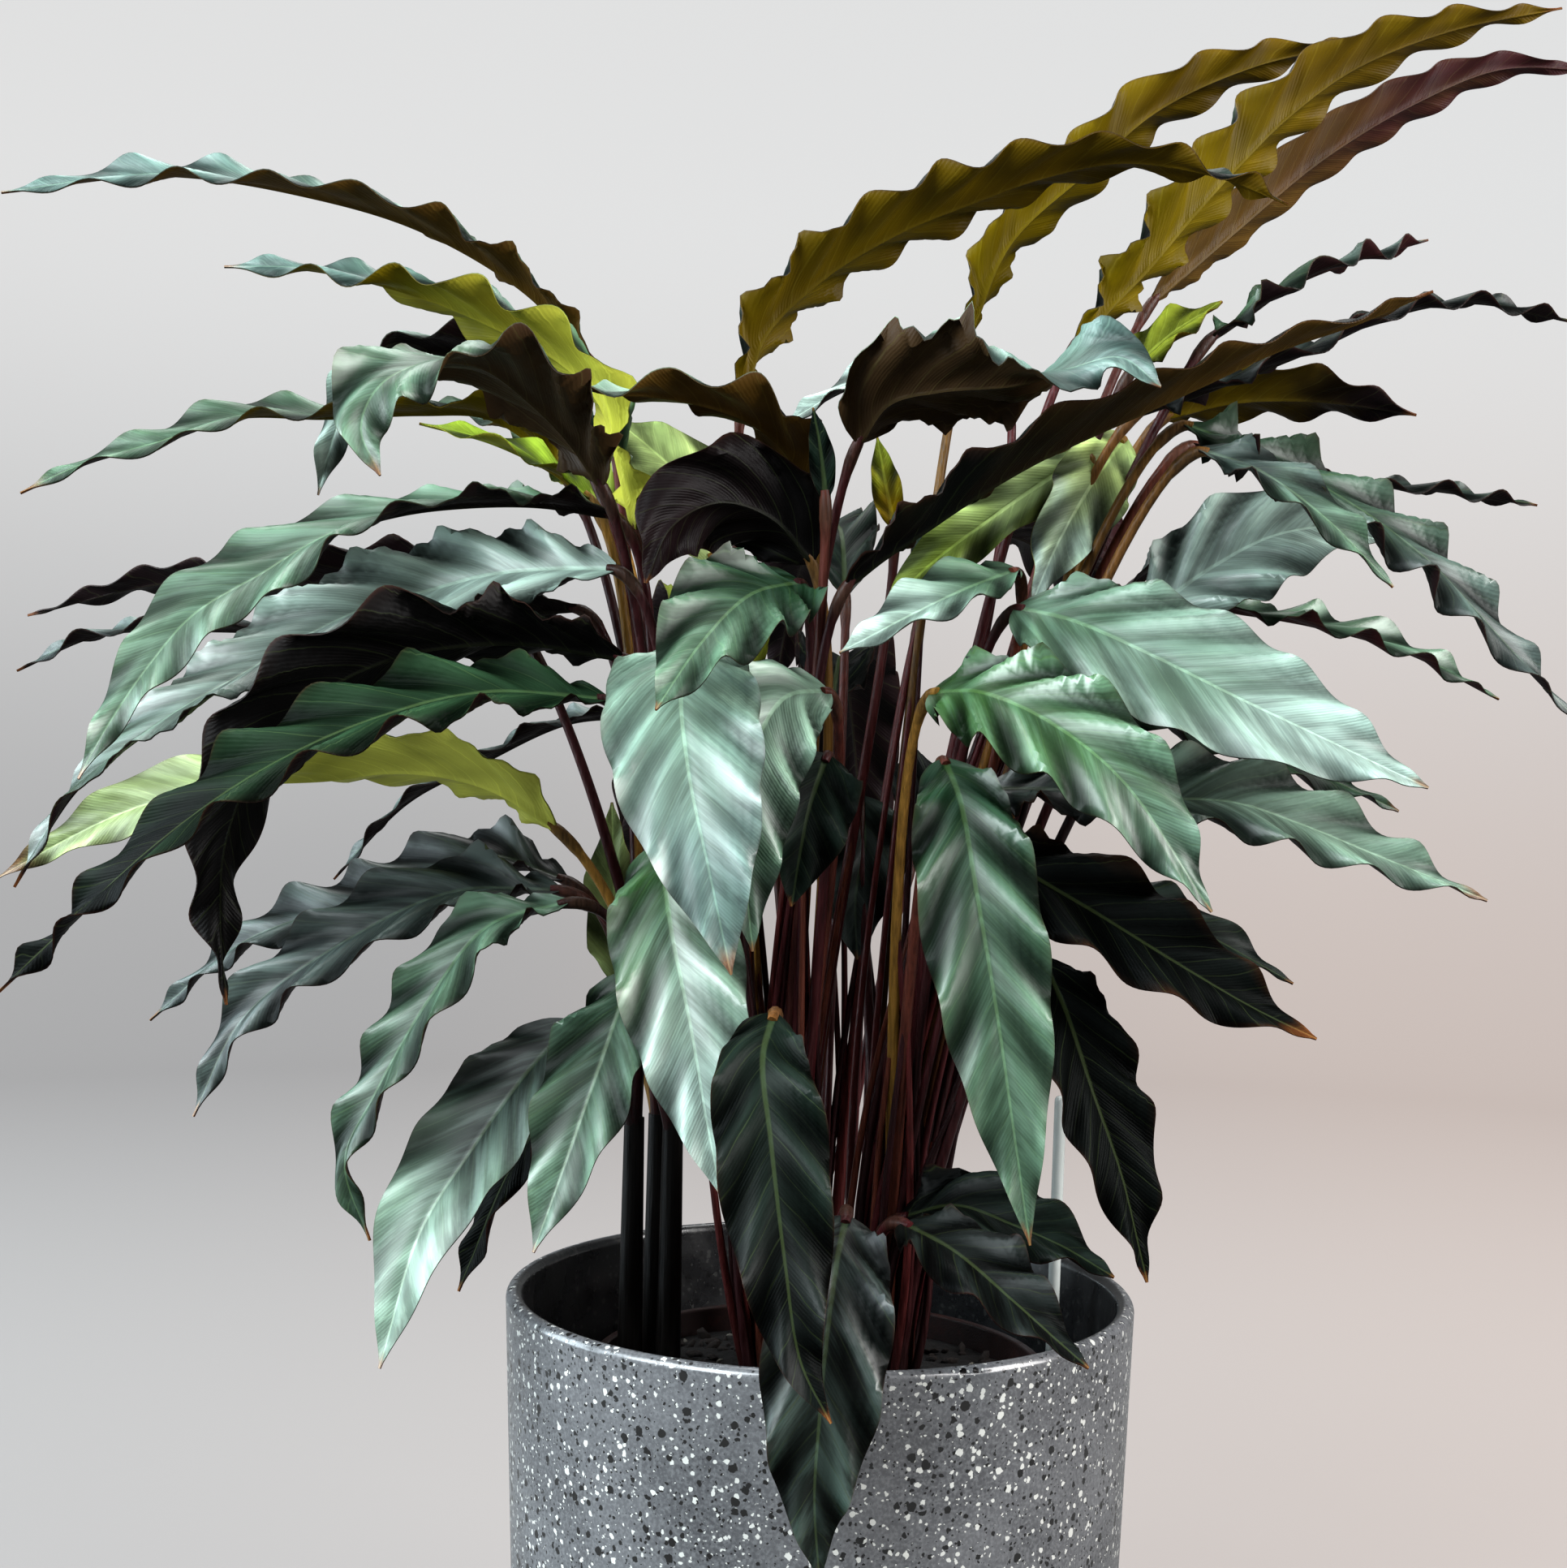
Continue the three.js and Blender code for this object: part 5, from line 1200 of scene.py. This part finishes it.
def growBlade(name, leaf, nodes):
    rows = bladeRows(name, leaf)
    last = len(rows) - 1
    across = blade["across"]
    seed = Vector((len(name) * 3.1, sum(ord(letter) for letter in name) * 0.53, 1.7))
    mesh = bmesh.new()
    toneLayer = mesh.verts.layers.float_color.new("tone")
    ribLayer = mesh.verts.layers.float.new("offRib")
    shineLayer = mesh.verts.layers.float.new("shine")
    # the crest layer carries the waves' crests and troughs, for the painted light and shade on the upper
    # side
    crestLightLayer = mesh.verts.layers.float.new("crestLight")
    veinLayer = mesh.loops.layers.uv.new("veins")
    spots = {}
    for under in (False, True):
        made = bmesh.ops.create_grid(mesh, x_segments=across, y_segments=last, size=1)["verts"]
        faces = {face for vert in made for face in vert.link_faces}
        kinds, palette = ("under", underTones) if under else ("upper", upperTones)
        for vert in made:
            spread = vert.co.x
            v = math.copysign(abs(spread) ** blade["crowding"], spread)
            row = rows[round((vert.co.y + 1) / 2 * last)]
            height, push, crestLight = bladeLift(row, v)
            away = abs(v) * row["half"]
            if under:
                ridge = row["rib"] * max(0, 1 - (away / (blade["ribWidth"] * row["rib"])) ** 2)
                height += -blade["thickness"] / 2 * mm - ridge
            else:
                height += blade["thickness"] / 2 * mm
            vert.co = row["middle"] + row["side"] * (v * row["half"] * push) + row["up"] * height
            vert[toneLayer] = bladeTone(leaf, row, v, kinds, palette, seed)
            vert[ribLayer] = away / (row["rib"] * 0.8)
            vert[shineLayer] = leaf.get("shine", blade["shine"])
            vert[crestLightLayer] = 0 if under else crestLight
            along = (row["part"] * row["length"] - away * blade["veinSlant"]) / (10 * mm)
            spots[vert] = (along + seed.y, v)
        if under:
            bmesh.ops.reverse_faces(mesh, faces=list(faces))
            for face in faces:
                face.material_index = 1
    rims = [edge for edge in mesh.edges if edge.is_boundary]
    for face in bmesh.ops.bridge_loops(mesh, edges=rims)["faces"]:
        face.material_index = 1
    bmesh.ops.recalc_face_normals(mesh, faces=mesh.faces)
    for face in mesh.faces:
        for loop in face.loops:
            loop[veinLayer].uv = spots[loop.vert]
    smoothFaces(mesh, 62)
    newPiece("blade_" + name, mesh, [leafUpper, leafUnder], nodes, leaf["slot"])


for name, leaf in leaves.items():
    node = "stems_" + leaf["clump"] if name.startswith("small") else "leaf_" + name
    growBlade(name, leaf, [node])
print("leaves made:", len(leaves))

# Stalks: a piece for each clump, out of the soil or of the tops of thick sheathed poles
clumps = {
    "left": {"middle": (-58, 6), "radius": 15, "poles": [(-67, 4), (-53, 0), (-59, 14)], "golden": 1},
    "centre": {"middle": (-15, -5), "radius": 17, "poles": [], "golden": 1},
    "right": {"middle": (22, 0), "radius": 17, "poles": [], "golden": 1},
    "back": {"middle": (0, 48), "radius": 14, "poles": [], "golden": 1},
}
stalk = {
    "thick": 3.1, "thin": 1.6, "spread": 2.42, "upright": 0.35, "bend": 30, "jointRadius": 2.2,
    "jointLength": 13, "sink": 10, "neckSink": 3, "grip": 10, "sides": 10, "rings": 30,
    "crowding": 1.25, "golden": "7d5a24", "joint": "32261a", "dark": "0b0606",
    "tones": ["3d1517", "4a1b1a", "240c0e", "55291d", "331214", "1a090a", "2b1112", "3d1517"],
}
strand = {
    "count": 3, "thick": 1.7, "thin": 0.9, "spread": (4, 10), "end": (0.45, 0.8), "bulge": 0.8,
    "sides": 8, "least": 120,
}
# painted shade: the poles' near-black tone deepens the sheaths' own dark brown, as they stand in the
# leaves' shadow
pole = {"height": 92, "footRadius": 4.6, "topRadius": 3.6, "sides": 16, "steps": 16, "tone": "080605"}


def stalkFinish():
    finish, tree, shader = newFinish("stalkSkin", {"Specular IOR Level": 0.14})
    stretched = calcVector(tree, "MULTIPLY", objectPlace(tree), (900.0, 900.0, 40.0))
    streak = noiseOn(tree, stretched, 1.0, 3.0, 0.6)
    tone = readLayer(tree, "tone", "Color")
    tone = scaleTone(tree, tone, fade(tree, streak, 0.25, 0.75, 0.55, 1.5))
    feed(tree, shader, "Base Color", tone)
    feed(tree, shader, "Roughness", fade(tree, streak, 0.3, 0.7, 0.3, 0.5))
    feedBump(tree, shader, streak, 0.0003)
    return finish


stalkSkin = stalkFinish()


# Where the stalks stand: spread evenly over the clump, each leaf's on the side that it leans to
def stalkFeet(clump, grown):
    middle, radius = Vector((*clump["middle"], 0)), clump["radius"]
    if clump["poles"]:
        top = soilTop + pole["height"] - stalk["grip"]
        return [Vector((*clump["poles"][i % len(clump["poles"])], top)) for i in range(len(grown))]
    ground = upright * (soilTop - stalk["sink"])
    free = []
    for i in range(len(grown)):
        out = (radius - 2.5 * stalk["thick"]) * math.sqrt((i + 0.5) / len(grown))
        turn = stalk["spread"] * i
        free.append(middle + Vector((out * math.cos(turn), out * math.sin(turn), 0)) + ground)
    feet = []
    for i, leaf in enumerate(grown):
        wanted = Vector((leaf["rib"][0][0], leaf["rib"][0][1], 0)) - middle
        wanted = middle + wanted.normalized() * radius * (1 - i / len(grown)) + ground
        free.sort(key=lambda spot: (spot - wanted).length)
        feet.append(free.pop(0))
    return feet


# One stalk, up from its foot and over to the leaf's neck, with a slim swelling below the blade
def growStalk(mesh, layer, leaf, foot, dice, tones):
    _, headingAt, _ = smoothCurve(leaf["rib"])
    start = headingAt(0)
    neck = Vector(leaf["rib"][0]) + start * stalk["neckSink"]
    a, b = foot, foot + upright * stalk["upright"] * (neck.z - foot.z)
    c, d = neck - start * stalk["bend"], neck
    rings = stalk["rings"]
    path = []
    for i in range(rings + 1):
        w = 1 - (1 - i / rings) ** stalk["crowding"]
        path.append((a * (1 - w) ** 3 + b * 3 * w * (1 - w) ** 2 + c * 3 * w**2 * (1 - w) + d * w**3) * mm)
    reach = [0.0]
    for one, other in zip(path, path[1:]):
        reach.append(reach[-1] + (other - one).length)
    total = reach[-1]
    base = paint(dice.choice(tones))
    top = blend(base, paint(dice.choice(tones)), 0.5)
    radii, shades = [], []
    for spot in reach:
        left = (total - spot) / mm
        thick = stalk["thick"] + (stalk["thin"] - stalk["thick"]) * math.sqrt(spot / total)
        swell = ease(stalk["jointLength"] + 3, stalk["jointLength"] - 1, left) * ease(0, 5, left)
        radii.append((thick + (stalk["jointRadius"] - thick) * swell) * mm)
        shade = blend(blend(paint(stalk["dark"]), base, ease(0, 0.35, spot / total)), top, spot / total)
        shades.append(blend(shade, paint(stalk["joint"]), 0.55 * swell))
    rollTube(mesh, path, radii, stalk["sides"], shades, layer)
    return path, [spot / total for spot in reach]


# A slim sheath strand: leaves its stalk near the foot and runs back into it further up
def growStrand(mesh, layer, path, shares, dice, tones):
    turn = dice.uniform(0, 2 * math.pi)
    away = Vector((math.cos(turn), math.sin(turn), 0)) * dice.uniform(*strand["spread"]) * mm
    end = dice.uniform(*strand["end"])
    base = paint(dice.choice(tones))
    spots, radii, shades = [], [], []
    for spot, share in zip(path, shares):
        if share <= end:
            part = share / end
            spots.append(spot + away * math.sin(math.pi * part ** strand["bulge"]))
            radii.append((strand["thick"] + (strand["thin"] - strand["thick"]) * part) * mm)
            shades.append(blend(paint(stalk["dark"]), base, ease(0, 0.5, part)))
    rollTube(mesh, spots, radii, strand["sides"], shades, layer)


def growPole(mesh, layer, x, y):
    shares = [i / pole["steps"] for i in range(pole["steps"] + 1)]
    foot, length = soilTop - stalk["sink"], pole["height"] + stalk["sink"]
    path = [Vector((x, y, foot + length * share)) * mm for share in shares]
    taper = pole["topRadius"] - pole["footRadius"]
    radii = [(pole["footRadius"] + taper * share) * mm for share in shares]
    rollTube(mesh, path, radii, pole["sides"], [paint(pole["tone"])] * len(path), layer)


def makeClump(name):
    dice = random.Random("stalks " + name)
    clump = clumps[name]
    mesh = bmesh.new()
    layer = mesh.verts.layers.float_color.new("tone")
    grown = [leaf for leaf in leaves.values() if leaf["clump"] == name]
    grown.sort(key=lambda leaf: leaf["rib"][0][2])
    # the golden tone is partly the stalks' own colour and partly painted light, for stalks lit from behind
    mixed = stalk["tones"] + [stalk["golden"]] * clump["golden"]
    for leaf, foot in zip(grown, stalkFeet(clump, grown)):
        tones = [stalk["golden"]] if leaf["slot"] == "leaf_lime" else mixed
        path, shares = growStalk(mesh, layer, leaf, foot, dice, tones)
        if path[-1].z > (soilTop + strand["least"]) * mm and not clump["poles"]:
            for _ in range(strand["count"]):
                growStrand(mesh, layer, path, shares, dice, stalk["tones"])
    for x, y in clump["poles"]:
        growPole(mesh, layer, x, y)
    closeTubes(mesh)
    smoothFaces(mesh, 60)
    newPiece("stalks_" + name, mesh, [stalkSkin], ["stems_" + name], "stalk")


for name in clumps:
    makeClump(name)
print("stalks made")

# A pale floor that curves up all round, and soft studio light, with its lamps placed in metres
studio = {
    "floorRings": (300, 1000), "floorReach": 1900, "wallReach": 2600, "wallHeight": 2600, "turns": 96,
    "tone": "5c5b5a", "low": "8f8e8f", "warm": "b5a69f", "high": "d2d2d2",
    "sky": (0.86, 0.93, 1.0), "skyPower": 0.06,
}
lamps = {
    "key": {"place": (-1.3, -1.0, 1.5), "aim": (0, 0, 0.35), "size": (1.5, 1.3), "power": 105,
            "tone": (0.88, 0.96, 1.0)},
    "side": {"place": (-1.7, 0.15, 0.8), "aim": (0, 0, 0.25), "size": (1.0, 1.3), "power": 42,
             "tone": (0.78, 0.92, 1.0)},
    "right": {"place": (1.5, -0.6, 1.2), "aim": (0, 0, 0.3), "size": (1.1, 1.3), "power": 72,
              "tone": (1.0, 0.98, 0.97)},
    "front": {"place": (-0.2, -1.5, 2.0), "aim": (0, 0, 0.35), "size": (1.6, 0.9), "power": 14,
              "tone": (0.9, 0.97, 1.0)},
    "top": {"place": (-0.2, 0.6, 1.8), "aim": (0, 0, 0.4), "size": (1.6, 1.0), "power": 30,
            "tone": (1.0, 1.0, 1.0)},
}


def makeStage():
    reach, wall = studio["floorReach"], studio["wallReach"]
    profile = [(0, 0)] + [(ring, 0) for ring in studio["floorRings"]]
    profile += roundCorner((reach, wall - reach), wall - reach, -90, 0, 24)
    profile += [(wall, studio["wallHeight"])]
    mesh = spinProfile(profile, studio["turns"])
    if sum(face.normal.z for face in mesh.faces) < 0:
        bmesh.ops.reverse_faces(mesh, faces=mesh.faces)
    smoothFaces(mesh)
    fixed = {"Base Color": paint(studio["tone"]), "Roughness": 0.9, "Specular IOR Level": 0.1}
    finish, tree, shader = newFinish("paleFloor", fixed)
    # painted light: the floor and its walls look pale by a glow that only the camera sees, greyer low on
    # the left, warmer low on the right and paler higher up
    across, _, height = put(tree, "SeparateXYZ", {0: objectPlace(tree)}).outputs
    low = mixTone(tree, fade(tree, across, -0.7, 0.8), paint(studio["low"]), paint(studio["warm"]))
    glow = mixTone(tree, fade(tree, height, 0.0, 1.3), low, paint(studio["high"]))
    feed(tree, shader, "Emission Color", glow)
    feed(tree, shader, "Emission Strength", put(tree, "LightPath").outputs["Is Camera Ray"])
    meshObject("studio_floor", mesh, [finish])


def addLamps():
    for name, lamp in lamps.items():
        light = bpy.data.lights.new(name, "AREA")
        light.shape = "RECTANGLE"
        light.size, light.size_y = lamp["size"]
        light.energy, light.color = lamp["power"], lamp["tone"]
        holder = addObject(name, light)
        holder.location = lamp["place"]
        aim = Vector(lamp["aim"]) - Vector(lamp["place"])
        holder.rotation_euler = aim.to_track_quat("-Z", "Y").to_euler()
    world = bpy.data.worlds.new("studio")
    bpy.context.scene.world = world
    world.use_nodes = True
    sky = world.node_tree.nodes["Background"]
    sky.inputs["Color"].default_value = (*studio["sky"], 1)
    sky.inputs["Strength"].default_value = studio["skyPower"]
    bpy.context.scene.view_settings.view_transform = "Standard"


makeStage()
addLamps()
print("studio made")
